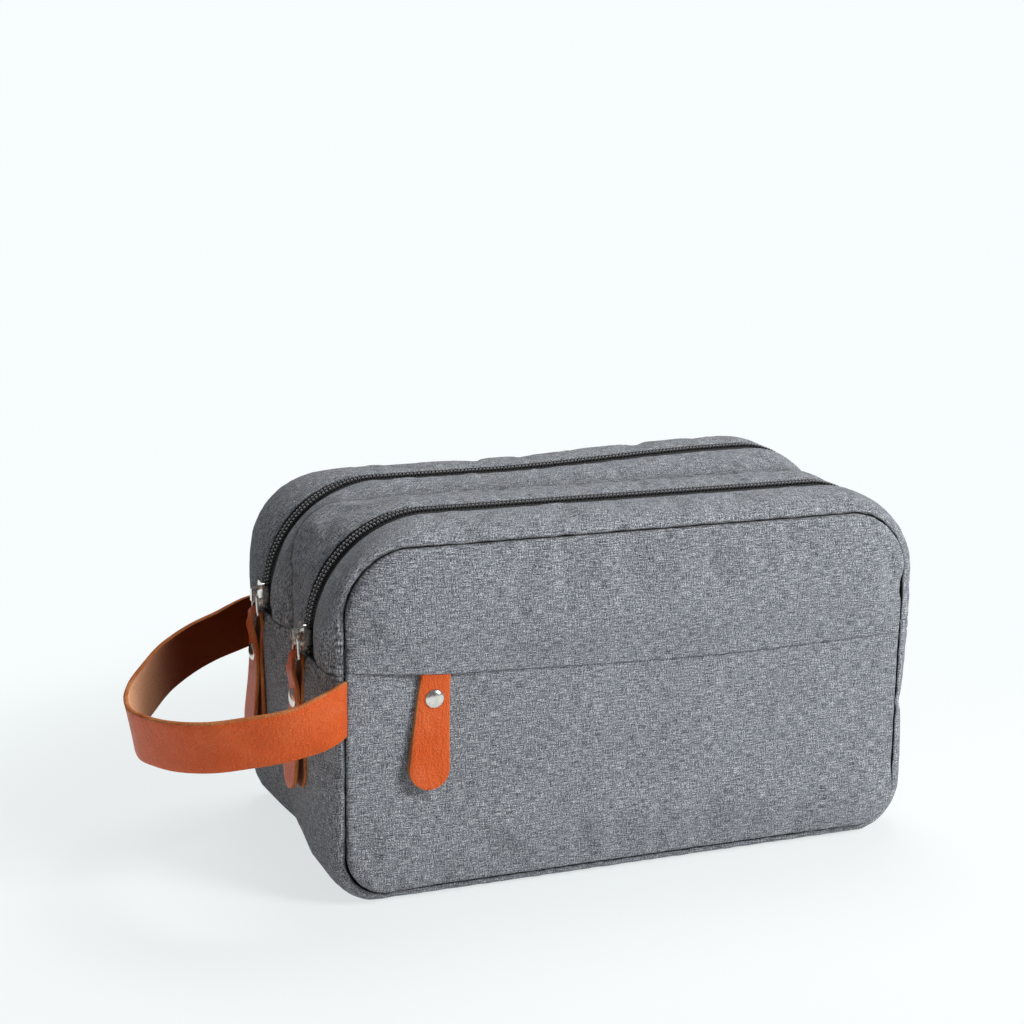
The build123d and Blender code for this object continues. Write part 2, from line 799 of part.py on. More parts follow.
with BuildPart() as carry_strap:
    with BuildSketch(strap_plane.offset(-strap_width / 2)):
        with BuildLine():
            near = TangentArc((0, strap_anchor), strap_shoulder, tangent=strap_start)
            bend = TangentArc(near @ 1, strap_front, tangent=near % 1)
            nose = TangentArc(bend @ 1, strap_nose, tangent=bend % 1)
            back = TangentArc(nose @ 1, strap_rear, tangent=nose % 1)
            rear = TangentArc(back @ 1, strap_rear_shoulder, tangent=back % 1)
            TangentArc(rear @ 1, (0, -strap_anchor), tangent=rear % 1)
            offset(amount=strap_leather / 2, side=Side.BOTH)
        make_face()
    extrude(amount=strap_width)
    beyond = 2 * strap_nose[0]
    with BuildSketch(across(strap_plane).offset(-beyond)):
        with BuildLine():
            Polyline(
                (strap_tip, strap_tip_half),
                (strap_tip + strap_taper, strap_width / 2),
                (beyond, strap_width / 2),
                (beyond, -strap_width / 2),
                (strap_tip + strap_taper, -strap_width / 2),
                (strap_tip, -strap_tip_half),
                close=True,
            )
        make_face()
    extrude(amount=2 * beyond, mode=Mode.INTERSECT)
save(carry_strap, "carry_strap")
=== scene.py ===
import math

import bmesh
import bpy
import numpy as np
from mathutils import Matrix, Vector


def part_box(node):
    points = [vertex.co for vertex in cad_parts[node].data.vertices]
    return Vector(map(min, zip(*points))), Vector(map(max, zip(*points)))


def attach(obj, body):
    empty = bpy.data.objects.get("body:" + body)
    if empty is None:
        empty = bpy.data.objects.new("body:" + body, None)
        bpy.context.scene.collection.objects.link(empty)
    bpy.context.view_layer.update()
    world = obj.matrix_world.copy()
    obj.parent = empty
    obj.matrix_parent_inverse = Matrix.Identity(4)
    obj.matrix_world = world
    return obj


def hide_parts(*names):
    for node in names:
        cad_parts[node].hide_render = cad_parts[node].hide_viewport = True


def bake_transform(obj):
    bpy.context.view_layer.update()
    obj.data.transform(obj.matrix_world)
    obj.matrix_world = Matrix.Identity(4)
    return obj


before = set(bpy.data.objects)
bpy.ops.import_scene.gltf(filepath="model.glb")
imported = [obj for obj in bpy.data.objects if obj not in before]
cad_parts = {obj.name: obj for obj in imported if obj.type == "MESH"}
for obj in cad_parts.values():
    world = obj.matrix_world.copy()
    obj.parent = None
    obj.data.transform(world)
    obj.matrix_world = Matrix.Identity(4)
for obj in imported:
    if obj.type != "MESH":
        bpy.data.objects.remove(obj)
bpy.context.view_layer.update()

# Toiletry bag: turned cloth shell with two coil zips, a front pocket, leather tabs and strap.
# Metres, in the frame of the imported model: -Y is the front, +Z is up.

mm = 0.001

# sizes read from the frame
panelLow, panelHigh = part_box("front_upper_panel")
seamHalf, seamTop, seamDepth = panelHigh.x, panelHigh.z, -panelHigh.y
trackDepth = -(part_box("front_zip_coil_inner")[0].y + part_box("front_zip_coil_outer")[1].y) / 2
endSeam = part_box("bottom_gusset")[1].z
print("frame loaded")

bag = {  # the filled bag's outline, mm
    "foot": 5.0, "footRadius": 18.0, "topRadius": 28.0,  # of the panels
    # over the top: depth, how far out and up from the panels' outline, corner radius
    "arch": ((68.5, 0, 0, 28), (67.2, 1.7, 1.4, 29.5), (65, 3.4, 2.9, 32.5), (60, 4.9, 4.9, 37.5),
             (50, 5.7, 6.8, 45), (41.5, 5.8, 7.6, 48.8), (34, 6, 8, 50), (26.5, 5.6, 7.6, 48.8),
             (12, 4.2, 6.2, 37), (4, 2.2, 4.4, 25), (0, 1.0, 3.6, 20)),
    # underneath: depth, how far out, height above the floor, corner radius
    "trough": ((68.5, 0, 5, 18), (67.2, 1.7, 3.2, 18.4), (65, 3.2, 1.6, 19), (60, 4.6, 0.5, 20),
               (48, 5.6, 0, 22), (22, 4.4, 0, 22), (0, 2.5, 0, 22)),
    "wallBlend": 35.0,  # below the end seam, where the two widths meet
    "farCorner": 0.35,  # share of the extra corner radius at the right end, which is packed fuller
}
packed = {  # what is inside pushes the right end out, mm; a pair is where it starts and is full
    "rearLift": 4.0, "rearReach": 3.0,  # how much higher and further out the rear corner stands
    "rearDepth": (0, 30), "rearHeight": (100, 145), "liftAlong": (-30, 90), "reachAlong": (40, 120),
    "flank": 3.4,  # how far the gusset bulges past the seams
    "flankAlong": (105, 120), "flankFoot": (4, 26), "flankTop": (112, 142),
    "flankSquare": 14,  # power: how flat the bulge is between the seams
}
cells = {"upperWall": 6, "corner": 12, "across": 44, "lowerWall": 20, "gusset": 6, "band": 4}  # of the shell
seams = {  # turned seams, mm and degrees
    "cloth": 0.6, "step": 2.2, "roll": 1.1, "tuck": 2.0, "corner": 62.0, "zipRoll": 0.8, "zipTuck": 1.3,
    "pucker": 0.32, "puckerReach": 8.0, "dip": 1.3, "dipReach": 5.0,
    "middleShare": 0.7, "ridge": 0.6, "ridgeReach": 5.0,  # the middle seam's smaller roll, which stands up
    "paintedLight": (0.0, 0.12, 0.5, 0.92, 1.08, 1.06, 1.0),  # painted tone from the hidden edge to the open cloth: painted shade in the crease, a painted highlight on the roll's crest
    "standing": (0.3, 0.4, 0.6, 0.95, 1.25, 1.22, 1.1),  # the same at the middle seam, where it stands free: painted shade behind it, a brighter painted highlight on its crest
    "shade": 0.65, "shadeReach": 4.5,  # of the cloth under that edge
}
bandHalf = 7.5 * mm  # half the width of a zip's tapes that shows
uvScale = 10  # UV units in a metre
bagCentre = (0, 0, 0.075)
merging = 1e-6  # points closer than this are one
lineSamples = 600  # points along a line before it is spaced evenly


# curves, grids and meshes

def follow(rows, at):  # smooth curve through rows of (place, value, value...)
    rows = np.array(sorted(rows), float)
    x, y = rows[:, 0], rows[:, 1:]
    slope = np.gradient(y, x, axis=0)
    at = np.clip(np.atleast_1d(np.asarray(at, float)), x[0], x[-1])
    k = np.clip(np.searchsorted(x, at, side="right") - 1, 0, len(x) - 2)
    width = (x[k + 1] - x[k])[:, None]
    t = (at - x[k])[:, None] / width
    return ((2 * t**3 - 3 * t**2 + 1) * y[k] + (t**3 - 2 * t**2 + t) * width * slope[k]
            + (3 * t**2 - 2 * t**3) * y[k + 1] + (t**3 - t**2) * width * slope[k + 1])


def smoothStep(t):
    t = np.clip(t, 0.0, 1.0)
    return t * t * (3 - 2 * t)


def easeOver(value, span):  # 0 to 1 while a value crosses a span
    return smoothStep((value - span[0]) / (span[1] - span[0]))


def runAlong(points):  # distance along a line at each of its points
    return np.concatenate([[0], np.cumsum(np.linalg.norm(np.diff(points, axis=0), axis=1))])


def ripple(s, seed):  # small uneven waves along a seam, -1 to 1
    waves = ((7.3, 0.30), (10.9, 0.32), (16.7, 0.25), (27.1, 0.13))  # wavelength mm, share
    total = 0
    for k, (length, share) in enumerate(waves, 1):
        total = total + share * np.sin(2 * np.pi * s / (length * mm) + seed * 1.7 * k)
    return total


def sample(values, u, v, loops=False):  # smooth reading of a grid at fractional places
    n, m = values.shape[:2]
    u, v = np.broadcast_arrays(np.asarray(u, float), np.asarray(v, float))
    iu, iv = np.floor(u).astype(int), np.floor(v).astype(int)

    def weights(f):
        return ((-f + 2 * f**2 - f**3) / 2, (2 - 5 * f**2 + 3 * f**3) / 2,
                (f + 4 * f**2 - 3 * f**3) / 2, (f**3 - f**2) / 2)

    total = 0
    for a, wu in enumerate(weights(u - iu)):
        ia = (iu + a - 1) % n if loops else np.clip(iu + a - 1, 0, n - 1)
        for b, wv in enumerate(weights(v - iv)):
            total = total + (wu * wv)[..., None] * values[ia, np.clip(iv + b - 1, 0, m - 1)]
    return total


def addObject(name, data):
    obj = bpy.data.objects.new(name, data)
    bpy.context.scene.collection.objects.link(obj)
    return obj


def newMesh(name, points, faces, edges=()):
    mesh = bpy.data.meshes.new(name)
    mesh.from_pydata(np.asarray(points).tolist(), list(edges), faces)
    return mesh


def gridQuads(ids):  # faces between neighbours in a grid of vertex numbers
    return np.stack([ids[:-1, :-1], ids[1:, :-1], ids[1:, 1:], ids[:-1, 1:]], -1).reshape(-1, 4)


def writePaintedLight(mesh, values):  # painted light that materials read: painted shade in a crease, a painted highlight on a crest or a coil tooth
    tone = mesh.attributes.new("paintedLight", "FLOAT", "POINT")
    tone.data.foreach_set("value", np.asarray(values).astype(np.float32).ravel())


def mendMesh(mesh, merge=0.0, outward=True):  # joins doubled points, turns faces out, shades smoothly
    bm = bmesh.new()
    bm.from_mesh(mesh)
    if merge:
        bmesh.ops.remove_doubles(bm, verts=bm.verts, dist=merge)
        bmesh.ops.dissolve_degenerate(bm, edges=bm.edges, dist=merge)
    if outward:
        bmesh.ops.recalc_face_normals(bm, faces=bm.faces)
    bm.to_mesh(mesh)
    bm.free()
    mesh.polygons.foreach_set("use_smooth", [True] * len(mesh.polygons))


def gridMesh(name, points, uv, paintedLight=1.0, centre=bagCentre):  # quads over a grid, turned away from a centre
    n, m = points.shape[:2]
    quads = gridQuads(np.arange(n * m).reshape(n, m))
    p = points.reshape(-1, 3)
    normal = np.cross(p[quads[:, 2]] - p[quads[:, 0]], p[quads[:, 3]] - p[quads[:, 1]])
    if (normal * (p[quads].mean(1) - np.array(centre))).sum() < 0:
        quads = quads[:, ::-1]
    mesh = newMesh(name, p, quads.tolist())
    layer = mesh.uv_layers.new(name="UVMap")
    layer.data.foreach_set("uv", uv.reshape(-1, 2)[quads].astype(np.float32).ravel())
    writePaintedLight(mesh, np.broadcast_to(paintedLight, (n, m)))
    mendMesh(mesh, merging, outward=False)
    return addObject(name, mesh)


# the shell's outline: p runs round the bag from the left end seam, over the top, and back underneath

columnCount = 2 * cells["corner"] + cells["across"]
rimStops = np.cumsum([0, cells["upperWall"], columnCount, cells["upperWall"], cells["lowerWall"],
                      columnCount, cells["lowerWall"]])
leftSeam, topStart, topStop, rightSeam, footStart, footStop, rimCount = rimStops.tolist()
footR, topR, foot = bag["footRadius"] * mm, bag["topRadius"] * mm, bag["foot"] * mm


def overTop(c, half, top, radius, farRadius):  # over the top, by column
    corner, across = cells["corner"], cells["across"]
    left = np.clip(c / corner, 0, 1) * np.pi / 2
    right = np.clip((c - corner - across) / corner, 0, 1) * np.pi / 2
    middle = np.clip((c - corner) / across, 0, 1)
    x = -half + radius * (1 - np.cos(left)) + middle * (2 * half - radius - farRadius)
    x = x + farRadius * np.sin(right)
    z = top + np.where(c <= corner, radius * (np.sin(left) - 1), farRadius * (np.cos(right) - 1))
    return x, z


def panelX(c):
    return overTop(np.asarray(c, float), seamHalf, seamTop, topR, topR)[0]


def underFoot(c, half, low, radius):  # the same columns along the bottom
    x = panelX(c)
    edge = np.clip(seamHalf - np.abs(x), 0, footR)
    turn = np.arccos(np.clip(1 - edge / footR, -1, 1))
    flat = np.clip(np.abs(x) / (seamHalf - footR), 0, 1)
    inArc = np.abs(x) > seamHalf - footR
    footX = np.sign(x) * np.where(inArc, half - radius * (1 - np.cos(turn)), flat * (half - radius))
    footZ = np.where(inArc, low + radius * (1 - np.sin(turn)), low)
    return footX, footZ


def rightRadius(radius, inset=0.0):
    return np.minimum(radius, topR - inset + (radius - topR + inset) * bag["farCorner"])


def rim(p, depth, inset=0.0):  # x and z of the shell
    p, depth, inset = np.broadcast_arrays(*(np.asarray(v, float) for v in (p, depth, inset)))
    shape = p.shape
    p, depth, inset = np.mod(p.ravel(), rimCount), np.abs(depth.ravel()) / mm, inset.ravel()
    swell, rise, radius = follow(bag["arch"], depth).T * mm
    half, top, radius = seamHalf + swell - inset, seamTop + rise - inset, radius - inset
    farRadius = rightRadius(radius, inset)
    swell, low, lowR = follow(bag["trough"], depth).T * mm
    lowHalf, low, lowR = seamHalf + swell - inset, low + inset, lowR - inset
    spring, farSpring, knee = top - radius, top - farRadius, low + lowR
    x, z = overTop(p - topStart, half, top, radius, farRadius)
    footX, footZ = underFoot(columnCount - (p - footStart), lowHalf, low, lowR)
    upLeft = endSeam + (p - leftSeam) / (topStart - leftSeam) * (spring - endSeam)
    upRight = farSpring - (p - topStop) / (rightSeam - topStop) * (farSpring - endSeam)
    downRight = endSeam - (p - rightSeam) / (footStart - rightSeam) * (endSeam - knee)
    downLeft = knee + (p - footStop) / (rimCount - footStop) * (endSeam - knee)
    zones = [p < topStart, p <= topStop, p < rightSeam, p < footStart, p <= footStop]

    def wall(height):
        return half + (lowHalf - half) * smoothStep((endSeam - height) / (bag["wallBlend"] * mm))

    x = np.select(zones, [-half, x, half, wall(downRight), footX], -wall(downLeft))
    z = np.select(zones, [upLeft, z, upRight, downRight, footZ], downLeft)
    return x.reshape(shape), z.reshape(shape)


def packFull(points):  # the right end bulges, and its rear corner is fuller than the rest
    x, y, z = (points[..., k] / mm for k in range(3))
    rear = easeOver(y, packed["rearDepth"]) * easeOver(z, packed["rearHeight"])
    flank = easeOver(x, packed["flankAlong"]) * easeOver(z, packed["flankFoot"])
    flank = flank * (1 - easeOver(z, packed["flankTop"]))
    flank = flank * (1 - np.minimum(np.abs(y) * mm / seamDepth, 1)**packed["flankSquare"])
    points[..., 0] += packed["flank"] * mm * flank
    points[..., 0] += packed["rearReach"] * mm * rear * easeOver(x, packed["reachAlong"])
    points[..., 2] += packed["rearLift"] * mm * rear * easeOver(x, packed["liftAlong"])
    return points


def lowAt(x):  # the panels' lower and upper outline
    e = np.clip(np.abs(x) - (seamHalf - footR), 0, footR)
    return foot + footR - np.sqrt(np.maximum(footR**2 - e**2, 0))


def highAt(x):
    e = np.clip(np.abs(x) - (seamHalf - topR), 0, topR)
    return seamTop - topR + np.sqrt(np.maximum(topR**2 - e**2, 0))


def fromSeam(x, z):  # distance in from the panel seam, and the way in
    middle = (seamTop + foot) / 2
    radius = np.where(z > middle, topR, footR)
    dx = np.abs(x) - (seamHalf - radius)
    dz = np.abs(z - middle) - ((seamTop - foot) / 2 - radius)
    outX, outZ = np.maximum(dx, 0), np.maximum(dz, 0)
    outside = np.sqrt(outX**2 + outZ**2)
    scale = -1 / np.maximum(outside, 1e-9)
    way = np.stack([np.sign(x) * outX * scale, outX * 0, np.sign(z - middle) * outZ * scale], -1)
    return radius - outside - np.minimum(np.maximum(dx, dz), 0), way


# coarse shell and its cloth simulation

bandDepths = np.concatenate([
    np.linspace(seamDepth, trackDepth + bandHalf, cells["gusset"] + 1)[:-1],
    np.linspace(trackDepth + bandHalf, trackDepth - bandHalf, cells["band"] + 1)[:-1],
    np.linspace(trackDepth - bandHalf, 0, cells["gusset"] + 1),
])
bandDepths = np.concatenate([bandDepths, -bandDepths[-2::-1]])
wallRows = np.concatenate([np.linspace(foot + footR, endSeam, cells["lowerWall"] + 1),
                           np.linspace(endSeam, seamTop - topR, cells["upperWall"] + 1)[1:]])
rowShares = (wallRows - wallRows[0]) / (wallRows[-1] - wallRows[0])

puff = {  # how the filled bag's cloth stands out, lengths in mm
    "crown": 5.0, "crownReach": 4.6,  # a panel's pillow form before the simulation
    "pressure": 3.0, "spareCloth": 0.012, "stiffness": 9.0, "bending": 1.2, "mass": 0.3, "quality": 5,
    "frames": 18, "cap": 2.6,  # the furthest that a point may move
    "seamHold": 0.75, "tapeMargin": 1.02, "tapeBelow": 2.0, "floorHold": 1.2, "onLine": 0.1,  # what is held
}


def pillowRise(inward):
    return puff["crown"] * mm * (1 - np.exp(-np.maximum(inward, 0) / (puff["crownReach"] * mm)))


def shellGrids():  # the band of gussets, the front and the back
    p, depth = np.meshgrid(np.arange(rimCount), bandDepths, indexing="ij")
    x, z = rim(p, depth)
    band = np.stack([x, -depth, z], -1)
    x = np.repeat(panelX(np.arange(columnCount + 1))[:, None], len(rowShares), 1)
    z = lowAt(x) + rowShares * (highAt(x) - lowAt(x))
    out = seamDepth + pillowRise(fromSeam(x, z)[0])
    return band, np.stack([x, -out, z], -1), np.stack([x, out, z], -1)


def weldGrids(grids):  # one mesh of the grids, and the vertex that each of their points became
    quads, start = [], 0
    for number, grid in enumerate(grids):
        ids = start + np.arange(grid[..., 0].size).reshape(grid.shape[:2])
        start += ids.size
        if number == 0:
            ids = np.concatenate([ids, ids[:1]])  # the band closes on itself
        quads.append(gridQuads(ids))
    points = np.concatenate([grid.reshape(-1, 3) for grid in grids])
    first, welded = np.unique(np.round(points, 5), axis=0, return_index=True, return_inverse=True)[1:]
    welded = welded.ravel()
    mesh = newMesh("shell", points[first], welded[np.concatenate(quads)].tolist())
    mendMesh(mesh)
    return mesh, welded


def pinWeights(points):  # how firmly each point of the shell is held, 0 to 1
    depth, height = np.abs(points[:, 1]), points[:, 2]
    onTape = np.abs(depth - trackDepth) < bandHalf * puff["tapeMargin"]
    onTape = onTape & (height > endSeam - puff["tapeBelow"] * mm)
    onFloor = height < puff["floorHold"] * mm
    onSeam = np.abs(depth - seamDepth) < puff["onLine"] * mm
    onMiddle = (depth < puff["onLine"] * mm) & (height > endSeam)
    return np.where(onTape | onFloor | onMiddle, 1.0, np.where(onSeam, puff["seamHold"], 0.0))


def simulateShell():  # how far each point of the grids moves when the bag is filled
    grids = shellGrids()
    mesh, welded = weldGrids(grids)
    shell = addObject("shell", mesh)
    rest = np.array([v.co for v in mesh.vertices])
    pins = pinWeights(rest)
    group = shell.vertex_groups.new(name="pins")
    for index in np.nonzero(pins)[0]:
        group.add([int(index)], float(pins[index]), "REPLACE")
    cloth = shell.modifiers.new("Cloth", "CLOTH")
    cloth.settings.quality = puff["quality"]
    cloth.settings.mass = puff["mass"]
    cloth.settings.tension_stiffness = cloth.settings.compression_stiffness = puff["stiffness"]
    cloth.settings.shear_stiffness = puff["stiffness"] / 3
    cloth.settings.bending_stiffness = puff["bending"]
    cloth.settings.vertex_group_mass = "pins"
    cloth.settings.use_pressure = True
    cloth.settings.uniform_pressure_force = puff["pressure"]
    cloth.settings.shrink_min = -puff["spareCloth"]
    cloth.settings.effector_weights.gravity = 0.0
    cloth.point_cache.frame_end = puff["frames"]
    for number in range(1, puff["frames"] + 1):
        bpy.context.scene.frame_set(number)
    evaluated = shell.evaluated_get(bpy.context.evaluated_depsgraph_get())
    moved = np.array([v.co for v in evaluated.data.vertices]) - rest
    bpy.context.scene.frame_set(1)
    bpy.data.objects.remove(shell)
    length = np.linalg.norm(moved, axis=1, keepdims=True)
    moved = moved * np.minimum(1, puff["cap"] * mm / np.maximum(length, 1e-9))
    print("cloth moved by up to", round(float(length.max()) / mm, 2), "mm")
    moves, start = [], 0
    for grid in grids:
        count = grid[..., 0].size
        moves.append(moved[welded[start:start + count]].reshape(grid.shape))
        start += count
    return moves


bandMove, frontMove, backMove = simulateShell()
print("shell simulated")

rimLength = runAlong(np.stack(rim(np.arange(rimCount + 1), trackDepth), -1))
rimLength[-1] = rimLength[-2] + (rimLength[1] - rimLength[0])


# cloth pieces that run round the bag

def rolledEdge(roll, tuck, corner=0.0):  # rows of a turned edge: how far in from the seam, how deep, painted shade and highlight
    half = math.radians(corner) / 2  # the surfaces either side of the seam turn this much each
    turn = np.linspace(math.pi / 2 + half, 0, len(seams["paintedLight"]) - 1)
    inward = roll * ((1 + math.sin(half)) / math.cos(half) - np.sin(turn))
    sink = roll * (1 - np.cos(turn))
    inward = np.concatenate([[inward[0] + tuck * math.sin(half)], inward])
    sink = np.concatenate([[sink[0] + tuck * math.cos(half)], sink])
    return inward * mm, sink * mm, np.array(seams["paintedLight"])


plainEdge = (np.zeros(1), np.zeros(1), np.ones(1))
cornerEdge = rolledEdge(seams["roll"], seams["tuck"], seams["corner"])  # at the panels
clothEdge = rolledEdge(seams["roll"], seams["tuck"])
zipEdge = rolledEdge(seams["zipRoll"], seams["zipTuck"])


def acrossRows(start, stop, startEdge, stopEdge):  # depth, sink and tone of each row of a strip
    sign = np.sign(stop - start)
    inA, sinkA, paintedLightA = startEdge
    inB, sinkB, paintedLightB = stopEdge
    first, last = start + sign * inA[-1], stop - sign * inB[-1]
    count = max(2, int(abs(last - first) / (seams["step"] * mm)))
    middle = np.linspace(first, last, count + 1)[1:-1]
    depth = np.concatenate([start + sign * inA, middle, (stop - sign * inB)[::-1]])
    flat = np.zeros(len(middle))
    return depth, np.concatenate([sinkA, flat, sinkB[::-1]]), np.concatenate([paintedLightA, flat + 1, paintedLightB[::-1]])


def roundPiece(name, fromP, toP, rows, endEdge=plainEdge, base=0.0, puckerAt=(), seed=1):
    depth, sink, paintedLight = rows  # a strip of the shell, over the top or underneath
    inward, endSink, endPaintedLight = endEdge
    rise, radius = follow(bag["arch"], np.abs(depth) / mm).T[1:] * mm
    low, lowRadius = follow(bag["trough"], np.abs(depth) / mm).T[1:] * mm
    if toP <= rightSeam:
        startCell = (seamTop + rise - radius - endSeam) / cells["upperWall"]
        stopCell = (seamTop + rise - rightRadius(radius) - endSeam) / cells["upperWall"]
    else:
        startCell = stopCell = (endSeam - low - lowRadius) / cells["lowerWall"]
    body = np.arange((toP - fromP - 2) * 2 + 1) / 2 + fromP + 1
    p = np.concatenate([
        fromP + inward[:, None] / startCell,
        np.repeat(body[:, None], len(depth), 1),
        (toP - inward[:, None] / stopCell)[::-1],
    ])
    flat = np.zeros(len(body))
    inset = sink + base + np.concatenate([endSink, flat, endSink[::-1]])[:, None]
    tone = paintedLight * np.concatenate([endPaintedLight, flat + 1, endPaintedLight[::-1]])[:, None]
    arc = np.interp(np.mod(p, rimCount), np.arange(rimCount + 1), rimLength)
    for at in puckerAt:
        fade = np.exp(-np.abs(depth - at) / (seams["puckerReach"] * mm))
        inset = inset - seams["pucker"] * mm * ripple(arc, seed + at * 90) * fade
    depths = np.repeat(depth[None, :], len(p), 0)
    x, z = rim(p, depths, inset)
    row = np.interp(-depths, -bandDepths, np.arange(len(bandDepths)))
    points = np.stack([x, -depths, z], -1) + sample(bandMove, np.mod(p, rimCount), row, True)
    girth = depth[0] + np.concatenate([[0], np.cumsum(np.hypot(np.diff(depth), np.diff(sink)))])
    uv = np.stack([arc * uvScale, np.broadcast_to(girth * uvScale, arc.shape)], -1)
    return gridMesh(name, packFull(points), uv, tone)


# node materials

def linear(code):  # sRGB hex to linear
    values = [int(code[i:i + 2], 16) / 255 for i in (1, 3, 5)]
    return tuple(v / 12.92 if v <= 0.04045 else ((v + 0.055) / 1.055)**2.4 for v in values) + (1,)


def node(tree, kind, inputs=None, stops=(), **settings):  # one node with its settings, links and ramp stops
    made = tree.nodes.new(kind)
    for key, value in settings.items():
        setattr(made, key, value)
    for key, value in (inputs or {}).items():
        source = value.outputs[0] if isinstance(value, bpy.types.Node) else value
        if isinstance(source, bpy.types.NodeSocket):
            tree.links.new(source, made.inputs[key])
        else:
            made.inputs[key].default_value = source
    if stops:
        elements = made.color_ramp.elements
        while len(elements) < len(stops):
            elements.new(0.5)
        for element, (place, colour) in zip(elements, stops):
            element.position = place
            element.color = linear(colour) if isinstance(colour, str) else (colour, colour, colour, 1)
    return made


def newMaterial(name):
    material = bpy.data.materials.new(name)
    material.use_nodes = True
    material.node_tree.nodes.clear()
    return material, material.node_tree


def closeMaterial(material, inputs):  # its shader and output
    shader = node(material.node_tree, "ShaderNodeBsdfPrincipled", inputs)
    node(material.node_tree, "ShaderNodeOutputMaterial", {"Surface": shader})
    return material


def streaks(tree, scale, detail, seed):  # stretched noise on the UV map: cells per mm in each direction
    perUv = 1 / (uvScale * mm)
    place = node(tree, "ShaderNodeUVMap", uv_map="UVMap")
    shifted = node(tree, "ShaderNodeMapping",
                   {0: place, 1: (seed, seed * 0.7, 0), 3: (scale[0] * perUv, scale[1] * perUv, 1)})
    return node(tree, "ShaderNodeTexNoise",
                {"Vector": shifted, "Scale": 1.0, "Detail": detail, "Roughness": 0.6}, noise_dimensions="2D")


weave = {  # the cloth's yarns: size as cells per mm, share in the tone, and the tones
    "weft": (0.2, 2.3), "warp": (2.3, 0.25), "grains": (1.9, 2.3), "clouds": (0.035, 0.05),
    "weftShare": 0.28, "warpShare": 0.22, "grainShare": 0.50,
    "tones": ((0.34, "#2D3036"), (0.44, "#666B73"), (0.50, "#80858C"), (0.56, "#9CA0A6"), (0.66, "#D8DADC")),
}
darken = {"data_type": "RGBA", "blend_type": "MULTIPLY"}  # a mix node that darkens one colour by another


def melangeCloth():
    # Space-dyed polyester oxford, plain weave: grey-blue yarns with pale and dark slubs both ways, matt.
    material, tree = newMaterial("melange oxford cloth")
    weft = streaks(tree, weave["weft"], 1.0, 3)  # slubs a few mm long on 0.4 mm yarns
    warp = streaks(tree, weave["warp"], 1.0, 11)
    grains = streaks(tree, weave["grains"], 1.0, 23)
    cloudy = streaks(tree, weave["clouds"], 2.0, 31)
    tally = node(tree, "ShaderNodeMath", {0: warp, 1: weave["warpShare"]}, operation="MULTIPLY")
    for yarns, share in ((weft, weave["weftShare"]), (grains, weave["grainShare"])):
        tally = node(tree, "ShaderNodeMath", {0: yarns, 1: share, 2: tally}, operation="MULTIPLY_ADD")
    yarn = node(tree, "ShaderNodeValToRGB", {"Fac": tally}, weave["tones"])
    tone = node(tree, "ShaderNodeValToRGB", {"Fac": cloudy}, ((0.3, 0.92), (0.7, 1.0)))
    paintedLight = node(tree, "ShaderNodeAttribute", attribute_name="paintedLight").outputs["Fac"]
    clouded = node(tree, "ShaderNodeMix", {0: 1.0, 6: yarn, 7: tone}, **darken)
    # painted shade in the seams' creases and painted highlights on their crests darken and lighten the yarn
    # colour
    withPaintedLight = node(tree, "ShaderNodeMix", {0: 1.0, 6: clouded.outputs[2], 7: paintedLight}, **darken)
    threads = node(tree, "ShaderNodeMath", {0: weft, 1: warp}, operation="SUBTRACT")
    relief = node(tree, "ShaderNodeMath", {0: threads, 1: grains}, operation="ADD")
    bump = node(tree, "ShaderNodeBump", {"Height": relief, "Strength": 0.55, "Distance": 0.35 * mm})
    return closeMaterial(material, {"Base Color": withPaintedLight.outputs[2], "Normal": bump, "Roughness": 0.85,
                                    "Specular IOR Level": 0.25, "Sheen Weight": 0.06, "Sheen Roughness": 0.5})


def ribbedWeave(name, dark, light):
    # Woven polyester for tapes, lining and backing: dark and slightly satin, fine ribs along its length.
    material, tree = newMaterial(name)
    ribs = streaks(tree, (0.8, 3.0), 2.0, 5)
    colour = node(tree, "ShaderNodeValToRGB", {"Fac": ribs}, ((0.35, dark), (0.75, light)))
    bump = node(tree, "ShaderNodeBump", {"Height": ribs, "Strength": 0.5, "Distance": 0.2 * mm})
    return closeMaterial(material, {"Base Color": colour, "Normal": bump, "Roughness": 0.7})


def nylonCoil():
    # Nylon monofilament, heat-set into a coil: near black, with painted glints pale on each tooth's crown and
    # small soft glints from its gloss.
    material, tree = newMaterial("nylon coil")
    place = node(tree, "ShaderNodeTexCoord").outputs["Object"]
    tint = node(tree, "ShaderNodeTexNoise", {"Vector": place, "Scale": 0.9 / mm, "Detail": 2.0})
    speckle = node(tree, "ShaderNodeValToRGB", {"Fac": tint}, ((0.3, 0.8), (0.8, 1.0)))
    paintedLight = node(tree, "ShaderNodeAttribute", attribute_name="paintedLight").outputs["Fac"]
    glintTones = ((0.1, "#08080A"), (0.5, "#56575B"), (1.0, "#DCDCE0"))  # painted glints, pale on each tooth's crown
    glinted = node(tree, "ShaderNodeValToRGB", {"Fac": paintedLight}, glintTones)
    colour = node(tree, "ShaderNodeMix", {0: 1.0, 6: glinted, 7: speckle}, **darken)
    return closeMaterial(material, {"Base Color": colour.outputs[2], "Roughness": 0.3})


